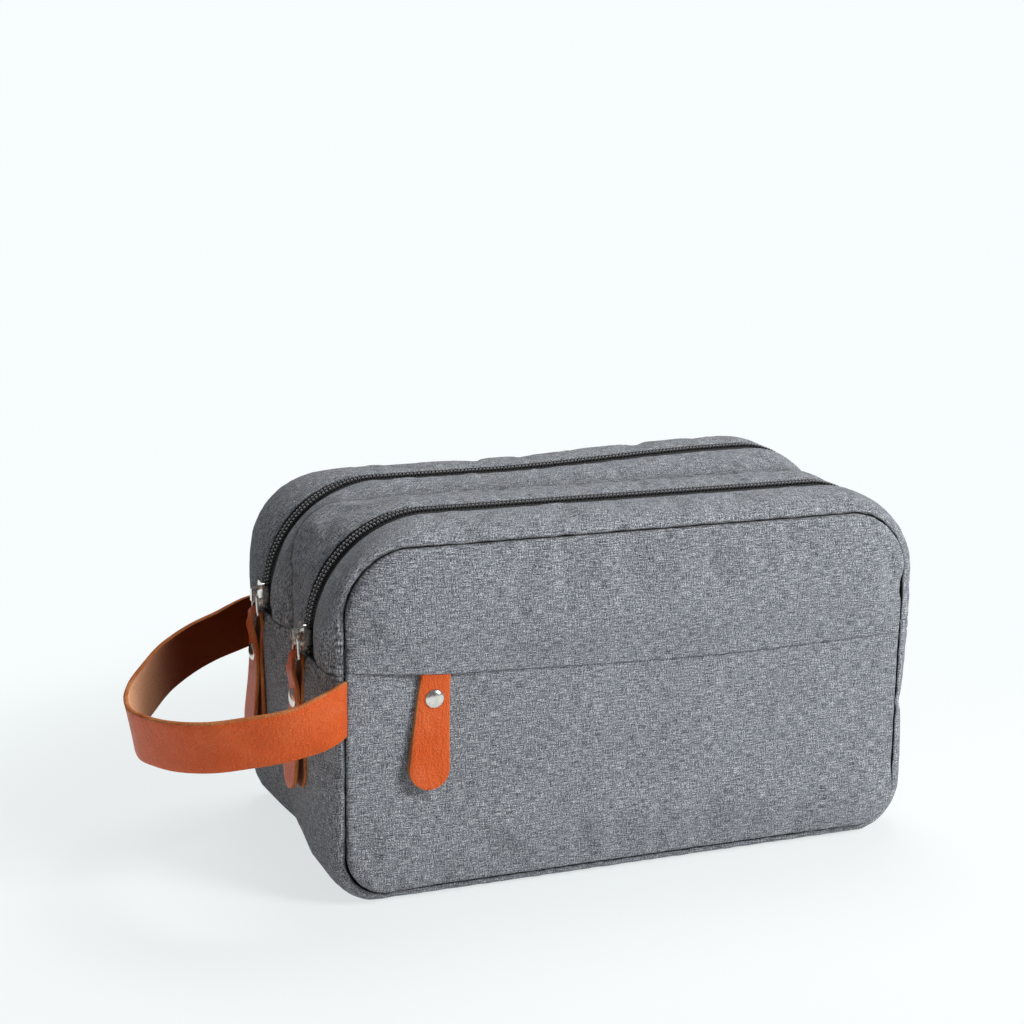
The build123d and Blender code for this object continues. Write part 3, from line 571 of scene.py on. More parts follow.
def leather(name, dark, mid, light, roughness, creases):
    # Corrected-grain cowhide, aniline dyed: fine pebbled grain, faint creases, satin topcoat.
    # The pebbles of 1.3 mm and creases of 2 by 6 mm are coarser than real, so that they show.
    material, tree = newMaterial(name)
    place = node(tree, "ShaderNodeTexCoord").outputs["Object"]
    pebbles = node(tree, "ShaderNodeTexVoronoi", {"Vector": place, "Scale": 0.76 / mm},
                   feature="DISTANCE_TO_EDGE")
    cloud = node(tree, "ShaderNodeTexNoise", {"Vector": place, "Scale": 0.09 / mm, "Detail": 4.0})
    slanted = node(tree, "ShaderNodeMapping",
                   {0: place, 2: (0, 0.7, 0.5), 3: (0.56 / mm, 0.56 / mm, 0.17 / mm)})
    lines = node(tree, "ShaderNodeTexNoise",
                 {"Vector": slanted, "Scale": 1.0, "Detail": 3.0, "Distortion": 0.8})
    colour = node(tree, "ShaderNodeValToRGB", {"Fac": cloud}, ((0.3, dark), (0.5, mid), (0.72, light)))
    dimmed = node(tree, "ShaderNodeValToRGB", {"Fac": pebbles}, ((0.0, 0.80), (0.12, 1.0)))
    grained = node(tree, "ShaderNodeMix", {0: 0.6, 6: colour, 7: dimmed}, **darken)
    height = node(tree, "ShaderNodeMath", {0: pebbles, 1: 0.22}, operation="MINIMUM")
    ridged = node(tree, "ShaderNodeMath", {0: lines, 1: creases}, operation="MULTIPLY")
    total = node(tree, "ShaderNodeMath", {0: height, 1: ridged}, operation="ADD")
    bump = node(tree, "ShaderNodeBump", {"Height": total, "Strength": 0.9, "Distance": 1.0 * mm})
    return closeMaterial(material, {"Base Color": grained.outputs[2], "Normal": bump, "Roughness": roughness,
                                    "Specular IOR Level": 0.15})


def suede(name, shadedColour, dark, light):
    # The flesh side of the hide: short brushed nap, matt, uneven; painted dark where its tone attribute is
    # low, as painted shade towards the bag and between a tab's leaves.
    # Its tufts of about 1 mm are coarser than real, so that they show.
    material, tree = newMaterial(name)
    place = node(tree, "ShaderNodeTexCoord").outputs["Object"]
    nap = node(tree, "ShaderNodeTexNoise",
               {"Vector": place, "Scale": 0.9 / mm, "Detail": 5.0, "Roughness": 0.7})
    paintedLight = node(tree, "ShaderNodeAttribute", attribute_name="paintedLight").outputs["Fac"]
    brushed = node(tree, "ShaderNodeValToRGB", {"Fac": nap}, ((0.3, dark), (0.7, light)))
    colour = node(tree, "ShaderNodeMix", {0: paintedLight, 6: linear(shadedColour), 7: brushed}, data_type="RGBA")
    bump = node(tree, "ShaderNodeBump", {"Height": nap, "Strength": 0.7, "Distance": 0.3 * mm})
    return closeMaterial(material, {"Base Color": colour.outputs[2], "Normal": bump, "Roughness": 0.95,
                                    "Specular IOR Level": 0.1})


def nickelPlate():
    # Die-cast zinc, tumbled and nickel plated: bright and warm grey, faint orange peel.
    material, tree = newMaterial("nickel plated zinc")
    place = node(tree, "ShaderNodeTexCoord").outputs["Object"]
    peel = node(tree, "ShaderNodeTexNoise", {"Vector": place, "Scale": 0.5 / mm, "Detail": 2.0})
    colour = node(tree, "ShaderNodeValToRGB", {"Fac": peel}, ((0.3, "#D2CEC7"), (0.7, "#E8E5DF")))
    roughness = node(tree, "ShaderNodeValToRGB", {"Fac": peel}, ((0.3, 0.18), (0.7, 0.30)))
    bump = node(tree, "ShaderNodeBump", {"Height": peel, "Strength": 0.15, "Distance": 0.05 * mm})
    return closeMaterial(material, {"Base Color": colour, "Roughness": roughness, "Normal": bump,
                                    "Metallic": 1.0})


clothMaterial = melangeCloth()
backingMaterial = ribbedWeave("coated cloth backing", "#3A3D42", "#50545A")
liningMaterial = ribbedWeave("taffeta lining", "#2C2E32", "#3C3F44")
tapeMaterial = ribbedWeave("zip tape", "#0B0B0C", "#222225")
coilMaterial = nylonCoil()
grainMaterial = leather("tan cowhide", "#DA5B24", "#DF612A", "#E46A36", 0.36, 0.8)
edgeMaterial = leather("cut hide edge", "#B8602F", "#CB7B48", "#D89462", 0.75, 0.2)
# the first colour, #6E2C0E, is painted shade on the flesh side
suedeMaterial = suede("hide flesh side", "#6E2C0E", "#E8A478", "#F7C49E")
nickel = nickelPlate()
print("materials made")


# gussets, end seams and zips

def finishCloth(obj, outside=clothMaterial, inside=backingMaterial,
                thickness=seams["cloth"]):  # both faces and a thickness in mm
    obj.data.materials.append(outside)
    obj.data.materials.append(inside)
    wall = obj.modifiers.new("Thickness", "SOLIDIFY")
    wall.thickness = thickness * mm
    wall.offset = -1
    wall.material_offset = 1
    wall.material_offset_rim = 0
    return obj


def opensWith(obj):  # cloth on the opening mouth: only its place is baked into its points
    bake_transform(obj)


def zipDip(depth, ridge=0.0):  # the cloth is drawn down at the zip, and may stand up at the middle seam
    away = np.maximum(np.abs(np.abs(depth) - trackDepth) - bandHalf, 0)
    raised = ridge * mm * np.exp(-np.abs(depth) / (seams["ridgeReach"] * mm))
    return seams["dip"] * mm * np.exp(-away / (seams["dipReach"] * mm)) - raised


for side, name in ((1, "front"), (-1, "rear")):
    rows = acrossRows(side * seamDepth, side * (trackDepth + bandHalf), cornerEdge, zipEdge)
    outer = roundPiece(f"{name}OuterGusset", leftSeam, rightSeam, rows, clothEdge, zipDip(rows[0]),
                       (side * seamDepth,), 2 + side)
    finishCloth(outer)
    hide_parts(f"{name}_outer_gusset", f"{name}_gusset_ends")
    opensWith(outer)

    ridge = seams["ridge"] if side > 0 else 0.0  # the front half stands over the rear one
    inward, sink, paintedLight = rolledEdge(seams["roll"] * seams["middleShare"], seams["tuck"] + ridge)
    middleEdge = (inward, sink, np.array(seams["standing"]) if side > 0 else paintedLight)
    depth, sink, paintedLight = acrossRows(side * (trackDepth - bandHalf), 0, zipEdge, middleEdge)
    if side < 0:  # in shade under the front half's edge
        paintedLight = paintedLight * (1 - seams["shade"] * np.exp(depth / (seams["shadeReach"] * mm)))
    inner = roundPiece(f"{name}InnerGusset", leftSeam, rightSeam, (depth, sink, paintedLight), clothEdge,
                       zipDip(depth, ridge), (0,), 5 + side)
    finishCloth(inner)
    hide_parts(f"{name}_inner_gusset")
    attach(inner, "root")

rows = acrossRows(seamDepth, -seamDepth, cornerEdge, cornerEdge)
bottom = roundPiece("bottomGusset", rightSeam, rimCount, rows, clothEdge, 0.0, (seamDepth, -seamDepth), 9)
finishCloth(bottom)
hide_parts("bottom_gusset")
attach(bottom, "root")
print("gussets made")

zipSizes = {  # mm
    "tapeSink": 2.0, "hidden": 4.0, "hiddenDrop": 2.2,  # the tape lies below the shell, and on under it
    "tapeRows": ((2, 0), (3.6, 0), (5.2, 0), (6.6, 0.15), (7.5, 0.4)),  # out from the track, drop
    "coilGap": 1.2, "pitch": 1.7, "toothAcross": 2.5, "toothAlong": 1.15, "toothTall": 1.5,
    "firstTooth": 1.2,  # above the end seam
}


def tapeRows(side, towards):  # depth, sink and tone of the tape's rows
    edge = zipSizes["tapeRows"][-1][0] + zipSizes["hidden"]
    rows = ((zipSizes["coilGap"] / 2, 0), *zipSizes["tapeRows"], (edge, zipSizes["hiddenDrop"]))
    reach, drop = np.array(rows).T * mm
    return side * (trackDepth + towards * reach), drop + zipSizes["tapeSink"] * mm, np.ones(len(rows))


def toothMesh():  # one turn of the coil, seen from outside: a rounded bar across the tape
    rings = ((-0.5, 0.0), (-0.45, 0.5), (-0.3, 0.85), (0.0, 1.0), (0.3, 0.85), (0.45, 0.5), (0.5, 0.0))
    sides, glintShare = 7, 1.8
    along, across, tall = (zipSizes[key] for key in ("toothAlong", "toothAcross", "toothTall"))
    verts, faces = [], []
    for place, size in rings:
        for k in range(sides):
            turn = 2 * math.pi * k / sides
            verts.append((math.cos(turn) * size * along / 2 * mm, place * across * mm,
                          math.sin(turn) * size * tall / 2 * mm))
    for r in range(len(rings) - 1):
        for k in range(sides):
            a, b = r * sides + k, r * sides + (k + 1) % sides
            faces.append((a, b, b + sides, a + sides))
    mesh = newMesh("tooth", verts, faces)
    # painted glint: pale in the middle of each tooth's crown, dark towards its ends
    writePaintedLight(mesh, [max(0.0, 1 - glintShare * abs(v[1]) / (across * mm)) for v in verts])
    mendMesh(mesh, merging)
    return addObject("tooth", mesh)


def rowAlongTree(copied, material):  # geometry nodes: copies of a piece at even steps along a line
    tree = bpy.data.node_groups.new("row along a line", "GeometryNodeTree")
    tree.interface.new_socket("Line", in_out="INPUT", socket_type="NodeSocketGeometry")
    step = tree.interface.new_socket("Step", in_out="INPUT", socket_type="NodeSocketFloat")
    tree.interface.new_socket("Row", in_out="OUTPUT", socket_type="NodeSocketGeometry")
    start = node(tree, "NodeGroupInput")
    curve = node(tree, "GeometryNodeMeshToCurve", {"Mesh": start.outputs["Line"]})
    even = node(tree, "GeometryNodeResampleCurve", {"Curve": curve, "Length": start.outputs["Step"]},
                mode="LENGTH")
    tangent = node(tree, "GeometryNodeInputTangent")
    along = node(tree, "FunctionNodeAlignRotationToVector", {"Vector": tangent}, axis="X")
    level = node(tree, "FunctionNodeAlignRotationToVector", {"Rotation": along, "Vector": (0.0, 1.0, 0.0)},
                 axis="Y", pivot_axis="X")
    source = node(tree, "GeometryNodeObjectInfo", {"Object": copied})
    rows = node(tree, "GeometryNodeInstanceOnPoints",
                {"Points": even, "Instance": source.outputs["Geometry"], "Rotation": level})
    real = node(tree, "GeometryNodeRealizeInstances", {"Geometry": rows})
    smooth = node(tree, "GeometryNodeSetShadeSmooth", {0: real})
    dressed = node(tree, "GeometryNodeSetMaterial", {"Geometry": smooth, "Material": material})
    node(tree, "NodeGroupOutput", {"Row": dressed})
    return tree, step.identifier


tooth = toothMesh()
toothTree, toothStep = rowAlongTree(tooth, coilMaterial)


def rowAlong(name, line):  # the teeth along a line, as a plain mesh
    carrier = addObject(name, newMesh(name, line, [], [(i, i + 1) for i in range(len(line) - 1)]))
    row = carrier.modifiers.new("Row", "NODES")
    row.node_group = toothTree
    row[toothStep] = zipSizes["pitch"] * mm
    carrier.update_tag()
    bpy.context.view_layer.update()
    depsgraph = bpy.context.evaluated_depsgraph_get()
    made = bpy.data.meshes.new_from_object(carrier.evaluated_get(depsgraph))
    bpy.data.objects.remove(carrier)
    return addObject(name, made)


def coilRow(name, side, towards):
    depth = side * (trackDepth + towards * (zipSizes["coilGap"] + zipSizes["toothAcross"]) / 2 * mm)
    shift = 0 if towards > 0 else zipSizes["pitch"] / 2 * mm  # the two rows mesh
    lift = (zipSizes["tapeSink"] - zipSizes["toothTall"] / 2) * mm
    p = np.linspace(leftSeam, rightSeam, lineSamples)
    x, z = rim(p, depth, lift)
    line = packFull(np.stack([x, np.full_like(x, -depth), z], -1))
    line = line[z > endSeam + zipSizes["firstTooth"] * mm]
    line[0, 2] += shift
    return rowAlong(name, line)


for side, name in ((1, "front"), (-1, "rear")):
    for towards, row in ((1, "Outer"), (-1, "Inner")):
        tape = roundPiece(f"{name}ZipTape{row}", leftSeam, rightSeam, tapeRows(side, towards))
        finishCloth(tape, tapeMaterial, tapeMaterial, 0.5)
        coil = coilRow(f"{name}ZipCoil{row}", side, towards)
        if towards > 0:
            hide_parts(f"{name}_zip_tape_outer", f"{name}_zip_tape_ends")
            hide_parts(f"{name}_zip_coil_outer", f"{name}_zip_coil_ends")
            opensWith(tape)
            opensWith(coil)
        else:
            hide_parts(f"{name}_zip_tape_inner")
            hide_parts(f"{name}_zip_coil_inner")
            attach(tape, "root")
            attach(coil, "root")
bpy.data.objects.remove(tooth)
print("zips made")


# panels

lip = {  # placket edge over the pocket zip, mm: its height by place along the bag
    "line": ((-125, 99.2), (-112, 98.2), (-88, 96.2), (-50, 94.3), (0, 92.6), (40, 91.8), (90, 92.6),
             (125, 93.4)),
    "roll": 0.55, "hem": 9.0, "settle": 18.0,
    "stand": 2.4, "standEdge": 3.4,  # how far the placket stands out of the seam plane at its lip
    "nearTab": 1.7, "tabX": -88.0, "tabReach": 16.0, "tabFade": 14.0,  # and more where the tab comes out
    "fullShare": 0.8, "fullAt": 24.0,  # share of the panels' crown that it reaches above the lip
}
pocket = {  # the pocket panel under it, mm
    "stand": 0.9, "behindTab": 0.25, "standEdge": 2.4, "lapUp": 8.0,
    "belly": 2.6, "bellyUnder": 44.0, "bellyOver": 26.0,  # fuller towards the bottom
    "freeUnder": 46.0, "freeOver": 22.0,  # above this the cloth behind the tab lies flat
}
panelRows = {"upper": 22, "pocket": 34, "back": 52}  # between the close rows by the seams
seamRows = (0, 0.25, 0.6, 1.0, 1.5, 2.1, 3.2)  # these, mm in from the seam
rollFade = 10.0  # mm over which a panel's cloth makes up for the turn at its seam
seamShade = ((0, 0.3, 0.7), (0.12, 0.6, 1))  # share of that turn, and the painted shade of the cloth there


def lipHeight(x):
    return follow(lip["line"], np.ravel(x) / mm)[:, 0].reshape(np.shape(x)) * mm


def nearTab(x):
    return np.exp(-((x / mm - lip["tabX"]) / lip["tabReach"])**2)


def riseFrom(inward, reach):  # 0 at the seam, 1 well inside it
    return 1 - np.exp(-np.maximum(inward, 0) / (reach * mm))


def panelPoints(c, z, side, out, move):  # one face of the bag at columns c and heights z
    x = np.broadcast_to(panelX(c), z.shape)
    low, high = lowAt(x), highAt(x)
    row = np.interp((z - low) / (high - low), rowShares, np.arange(len(rowShares)))
    inward, way = fromSeam(x, z)
    roll, half = seams["roll"] * mm, math.radians(seams["corner"]) / 2
    turned = roll * (math.pi / 2 + half)  # cloth taken by the turn at the seam
    turn = np.clip(1 - inward / turned, 0, 1) * (math.pi / 2 + half)
    centre = roll * (1 + math.sin(half)) / math.cos(half)
    place = np.where(inward < turned, centre - roll * np.sin(turn), centre + inward - turned)
    fade = np.exp(-np.maximum(inward - turned, 0) / (rollFade * mm))
    wave = seams["pucker"] * mm * ripple(x + z, 3) * np.exp(-inward / (seams["puckerReach"] * mm))
    y = -side * (seamDepth + out(x, z, inward) - roll * (1 - np.cos(turn)) + wave)
    points = np.stack([x, y, z], -1) + way * ((place - inward) * fade)[..., None]
    # painted shade, darker where the cloth turns into the seam
    tone = np.interp(inward / turned, *seamShade)
    return points, sample(move, np.broadcast_to(c, z.shape), row), tone, way


def edgeSteps(lengths, count, lowEdge=True, highEdge=True):  # along a column: closer together by the seams
    near = np.array(seamRows) * mm
    a = near if lowEdge else np.zeros(1)
    b = near if highEdge else np.zeros(1)
    middle = np.linspace(0, 1, count + 2)[1:-1]
    lengths = np.asarray(lengths)[:, None]
    inner = a[-1] + middle * (lengths - a[-1] - b[-1])
    return np.concatenate([np.broadcast_to(a, (len(lengths), len(a))), inner, lengths - b[::-1]], 1)


def tuckIn(points, tone, way, sides, side):  # adds a hidden ring that turns in at the sewn sides
    half, tuck = math.radians(seams["corner"]) / 2, seams["tuck"] * mm
    padded = np.pad(points, ((1, 1), (1, 1), (0, 0)), mode="edge")
    step = np.pad(way, ((1, 1), (1, 1), (0, 0)), mode="edge") * math.sin(half) * tuck
    step[..., 1] = side * math.cos(half) * tuck
    ring = np.ones(padded.shape[:2], bool)
    ring[1:-1, 1:-1] = False
    if "low" not in sides:
        ring[1:-1, 0] = False
    if "high" not in sides:
        ring[1:-1, -1] = False
    padded[ring] += step[ring]
    # the hidden ring is painted black, as painted shade in the seam's crease
    tones = np.where(ring, 0, np.pad(tone, 1, mode="edge"))
    first, last = (0 if "low" in sides else 1), (None if "high" in sides else -1)
    return padded[:, first:last], tones[:, first:last]


fineColumns = np.arange(columnCount * 2 + 1)[:, None] / 2
columnX = panelX(fineColumns[:, 0])


def clothUv(points):
    return np.stack([points[..., 0] * uvScale, points[..., 2] * uvScale], -1)


def upperOut(x, z, inward):
    above = (z - lipHeight(x)) / mm
    fuller = (puff["crown"] - lip["stand"]) * lip["fullShare"]
    settled = lip["stand"] + fuller * smoothStep(above / lip["fullAt"])
    settled = settled + lip["nearTab"] * nearTab(x) * np.exp(-np.maximum(above, 0) / lip["tabFade"])
    return settled * mm * riseFrom(inward, lip["standEdge"])


def lowerOut(x, z, inward):
    clear = pocket["behindTab"] + (pocket["stand"] - pocket["behindTab"]) * (1 - nearTab(x))
    belly = pocket["belly"] * smoothStep((pocket["bellyUnder"] - z / mm) / pocket["bellyOver"])
    return (clear + belly) * mm * riseFrom(inward, pocket["standEdge"])


def backOut(x, z, inward):
    return pillowRise(inward)


def makeUpperFront():
    lipZ = lipHeight(columnX)
    z = lipZ[:, None] + edgeSteps(highAt(columnX) - lipZ, panelRows["upper"], lowEdge=False)
    points, shift, tone, way = panelPoints(fineColumns, z, 1, upperOut, frontMove)
    points += shift * smoothStep((z - lipZ[:, None]) / (lip["settle"] * mm))[..., None]
    roll, hem = lip["roll"] * mm, lip["hem"] * mm
    front = points[:, 0]
    folded = [front + np.array([0, 2 * roll, hem])]
    for turn in np.radians((-90, -55, -25, 0, 25, 55)):  # the fold at the lip, from behind to the front
        folded.append(front + np.array([0, roll - roll * math.sin(turn), -roll * math.cos(turn)]))
    points = np.concatenate([np.stack(folded, 1), points], 1)
    tone = np.concatenate([np.repeat(tone[:, :1], len(folded), 1), tone], 1)
    way = np.concatenate([np.repeat(way[:, :1], len(folded), 1), way], 1)
    points, tone = tuckIn(points, tone, way, ("high",), 1)
    return gridMesh("frontUpperPanel", points, clothUv(points), tone)


def makeLowerFront():
    top = lipHeight(columnX) + pocket["lapUp"] * mm
    z = lowAt(columnX)[:, None] + edgeSteps(top - lowAt(columnX), panelRows["pocket"], highEdge=False)
    points, shift, tone, way = panelPoints(fineColumns, z, 1, lowerOut, frontMove)
    free = smoothStep((pocket["freeUnder"] * mm - z) / (pocket["freeOver"] * mm))[..., None]
    points, tone = tuckIn(points + shift * free, tone, way, ("low",), 1)
    return gridMesh("frontPocketPanel", points, clothUv(points), tone)


def makeBack():
    z = lowAt(columnX)[:, None] + edgeSteps(highAt(columnX) - lowAt(columnX), panelRows["back"])
    points, shift, tone, way = panelPoints(fineColumns, z, -1, backOut, backMove)
    points, tone = tuckIn(points + shift, tone, way, ("low", "high"), -1)
    return gridMesh("backPanel", packFull(points), clothUv(points), tone)


upperFront = finishCloth(makeUpperFront())
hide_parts("front_upper_panel", "pocket_placket")
opensWith(upperFront)
lowerFront = finishCloth(makeLowerFront())
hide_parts("front_pocket_panel")
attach(lowerFront, "root")
backPanel = finishCloth(makeBack())
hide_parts("back_upper_panel", "back_lower_panel")
opensWith(backPanel)
print("panels made")


# linings and divider

linings = {  # mm
    "clear": 2.9, "wallClear": 3.4, "outerEdge": 6.0, "innerEdge": 1.6, "rows": 26, "wallRows": 30,
    "wave": 0.5, "waveAcross": 17.0, "waveUp": 23.0,  # loose folds of the walls
}


def wallSheet(name, depth, inset):  # upright sheet of lining inside the shell
    x = panelX(np.arange(columnCount + 1))
    low, high = lowAt(x) + inset, highAt(x) - inset
    z = low[:, None] + np.linspace(0, 1, linings["wallRows"]) * (high - low)[:, None]
    wide = np.repeat(x[:, None], linings["wallRows"], 1) * (1 - inset / seamHalf)
    folds = np.sin(wide / (linings["waveAcross"] * mm) + np.sin(z / (linings["waveUp"] * mm)) * 2)
    points = np.stack([wide, -depth + linings["wave"] * mm * folds, z], -1)
    behind = (0, -depth + math.copysign(0.1, depth), bagCentre[2])
    return gridMesh(name, points, clothUv(points), centre=behind)


def troughSheet(name, side):  # lining of a compartment's sides and bottom
    outer, inner = seamDepth - linings["outerEdge"] * mm, linings["innerEdge"] * mm
    depth = side * np.linspace(outer, inner, linings["rows"])
    p, depths = np.meshgrid(np.arange(rightSeam * 2 + 1, rimCount * 2 - 2) / 2, depth, indexing="ij")
    x, z = rim(p, depths, linings["clear"] * mm)
    arc = np.interp(p, np.arange(rimCount + 1), rimLength)
    return gridMesh(name, np.stack([x, -depths, z], -1), np.stack([arc * uvScale, depths * uvScale], -1))


for side, name, wall, nodes in (
    (1, "front", "frontWallLining", ("front_upper_lining", "pocket_back_lining")),
    (-1, "rear", "backWallLining", ("back_upper_lining", "back_lower_lining")),
):
    trough = troughSheet(f"{name}CompartmentLining", side)
    finishCloth(trough, liningMaterial, liningMaterial, 0.4)
    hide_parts(f"{name}_compartment_lining")
    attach(trough, "root")
    lowBox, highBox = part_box(nodes[1])
    sheet = wallSheet(wall, -(lowBox.y + highBox.y) / 2, linings["wallClear"] * mm)
    finishCloth(sheet, liningMaterial, liningMaterial, 0.5)
    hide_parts(*nodes)
    opensWith(sheet)

divider = wallSheet("divider", 0.0001, linings["wallClear"] * mm)
finishCloth(divider, liningMaterial, liningMaterial, 0.8)
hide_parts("divider")
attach(divider, "root")
print("linings made")


# leather

hide = {"edgeRound": 0.5, "tabFleshLight": 0.3, "merging": 2e-6}  # mm; painted light on a tab's flesh side, mostly painted shade between its leaves; metres


def strip(name, centre, across, widths, thickness, edgeRound=hide["edgeRound"], paintedLight=hide["tabFleshLight"]):
    centre, across, widths = np.asarray(centre), np.asarray(across), np.asarray(widths)
    tangent = np.gradient(centre, axis=0)
    tangent /= np.linalg.norm(tangent, axis=1, keepdims=True)
    across = across - (across * tangent).sum(1, keepdims=True) * tangent
    across /= np.linalg.norm(across, axis=1, keepdims=True)
    up = np.cross(across, tangent)
    half, thick = widths / 2, thickness / 2
    edge = np.minimum(edgeRound * mm, np.maximum(half, 1e-6))
    places, marks = [], []  # round the section; mark 0 is the grain side, 1 a cut edge, 2 the flesh side
    for sign, mark in ((1, 0), (-1, 2)):
        for share in np.linspace(-sign, sign, 9):
            places.append((share * (half - edge), np.full_like(half, sign * thick)))
            marks.append(mark)
        for turn in np.radians((60, 30, 0, -30, -60)):
            places.append((sign * (half - edge + edge * math.cos(turn)),
                           np.full_like(half, sign * thick * math.sin(turn))))
            marks.append(1)
    ring = np.stack([centre + across * a[:, None] + up * b[:, None] for a, b in places], 1)
    n, m = ring.shape[:2]
    ids = np.arange(n * m).reshape(n, m)
    beside = np.roll(ids, -1, axis=1)
    quads = np.stack([ids[:-1], beside[:-1], beside[1:], ids[1:]], -1)
    kinds = [a if a == b else 1 for a, b in zip(marks, marks[1:] + marks[:1])]
    faces = quads.reshape(-1, 4).tolist() + [ids[0][::-1].tolist(), ids[-1].tolist()]
    mesh = newMesh(name, ring.reshape(-1, 3), faces)
    for material in (grainMaterial, edgeMaterial, suedeMaterial):
        mesh.materials.append(material)
    mesh.polygons.foreach_set("material_index", np.array(kinds * (n - 1) + [1, 1], np.int32))
    writePaintedLight(mesh, np.repeat(np.broadcast_to(paintedLight, n), m))
    mendMesh(mesh, hide["merging"])
    obj = addObject(name, mesh)
    return obj


def smoothPath(stops, step):  # even points on a smooth line through a few
    stops, denseCount = np.array(stops, float), 800
    chord = runAlong(stops)
    dense = follow([(s, *p) for s, p in zip(chord, stops)], np.linspace(0, chord[-1], denseCount))
    run = runAlong(dense)
    even = np.linspace(0, run[-1], max(8, int(run[-1] / step)))
    return np.stack([np.interp(even, run, dense[:, k]) for k in range(stops.shape[1])], -1)


tabs = {  # mm; places are (outwards from the ring's bar, below it)
    "bar": (-134.7, 96.5), "leather": 1.6, "length": 55.0, "foot": 18.0, "top": 11.0, "waist": 6.4,
    "neck": (1.5, 3.8), "step": 0.9,
    "outerLeaf": ((-3.6, -54.9), (-2.9, -46), (-1.3, -28), (-0.85, -17), (-1.3, -10.5), (-2.35, -5.5)),
    "fold": ((-1.95, -1.5), (-1.75, 0.7), (0, 1.85), (1.75, 0.7), (1.9, -1.5)),
    "innerLeaf": ((2.0, -5.5), (1.3, -10.5), (0.85, -17), (0.95, -28), (1.1, -46), (1.0, -54.9)),
}
pocketTab = {  # mm; depth from the middle of the bag, height
    "x": -88.0, "leather": 1.1, "length": 49.7, "foot": 17.0, "top": 12.0, "waist": 6.0, "lean": 4.0,
    "bar": (70.1, 98.2), "neck": (0.0, 1.5), "step": 0.9, "edgeRound": 0.35,
    "outerLeaf": ((3.0, -49.6), (2.4, -40), (1.1, -24), (0.6, -12.7), (0.75, -5)),
    "fold": ((1.15, -1.5), (1.1, 0.2), (0, 1.2), (-1.1, 0.2), (-1.1, -1.5)),
    "innerLeaf": ((-0.6, -5), (-0.55, -12.7), (-0.4, -24), (0.4, -40), (0.9, -49.6)),
}


def tabPath(tab):  # from the tip of the outer leaf over the bar to the tip of the inner one
    return smoothPath(tab["outerLeaf"] + tab["fold"] + tab["innerLeaf"], tab["step"]) * mm


def tabWidths(heights, tab):  # width of a tab by height below the bar
    below = -heights / mm
    neckTop, neckLength = tab["neck"]
    shoulder, radius = neckTop + neckLength, tab["foot"] / 2
    share = np.clip((below - shoulder) / (tab["length"] - radius - shoulder), 0, 1)
    neck = tab["waist"] + (tab["top"] - tab["waist"]) * smoothStep((below - neckTop) / neckLength)
    width = np.where(below < shoulder, neck, tab["top"] + (tab["foot"] - tab["top"]) * share)
    past = np.clip(below - (tab["length"] - radius), 0, radius)
    return np.where(past > 0, 2 * np.sqrt(np.maximum(radius**2 - past**2, 0)), width) * mm


for side, name in ((1, "front"), (-1, "rear")):
    path = tabPath(tabs)
    barX, barZ = tabs["bar"][0] * mm, tabs["bar"][1] * mm
    centre = np.stack([barX + path[:, 0], np.full(len(path), -side * trackDepth), barZ + path[:, 1]], -1)
    across = np.tile((0.0, -1.0, 0.0), (len(path), 1))
    tab = strip(f"{name}PullTab", centre, across, tabWidths(path[:, 1], tabs), tabs["leather"] * mm)
    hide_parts(f"{name}_pull_tab")
    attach(tab, f"{name}_tab")


def makePocketTab():
    path = tabPath(pocketTab)
    lean = -pocketTab["lean"] * mm * np.clip(-path[:, 1] / (pocketTab["length"] * mm), 0, 1)
    depth = pocketTab["bar"][0] * mm + path[:, 0]
    centre = np.stack([pocketTab["x"] * mm + lean, -depth, pocketTab["bar"][1] * mm + path[:, 1]], -1)
    across = np.tile((1.0, 0.0, 0.0), (len(path), 1))
    widths = tabWidths(path[:, 1], pocketTab)
    return strip("pocketPullTab", centre, across, widths, pocketTab["leather"] * mm, pocketTab["edgeRound"])


tab = makePocketTab()
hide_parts("pocket_pull_tab", "pocket_tab_fold")
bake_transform(tab)

strap = {  # mm: the middle of the loop as (x, y), drooping; its top leans towards the front
    "route": ((-122.0, -65.4), (-124.2, -67.6), (-127.0, -70.0), (-131, -72.2), (-141, -73.9),
              (-152.6, -72.1), (-163.5, -67.4), (-173.8, -61.9), (-188.3, -46.1), (-194.1, -34),
              (-197.3, -23), (-197.0, -9), (-193.2, 6), (-183.1, 27), (-169.2, 48.6), (-151.1, 63.7),
              (-137, 68.6), (-126.3, 69.0), (-123.6, 67.8)),
    "height": 82.5, "hingeX": -125.2, "droop": 12.0, "lean": 20.0, "leanReach": 22.0, "step": 1.6,
    "width": 25.0, "leather": 2.0, "sewnWidth": 22.6, "sewnLift": 1.5, "sewnReach": 12.0,
    "shadedFrom": (0.55, 0.82),  # shares of its length where the flesh side turns dark, as painted shade towards the rear end by the bag
}


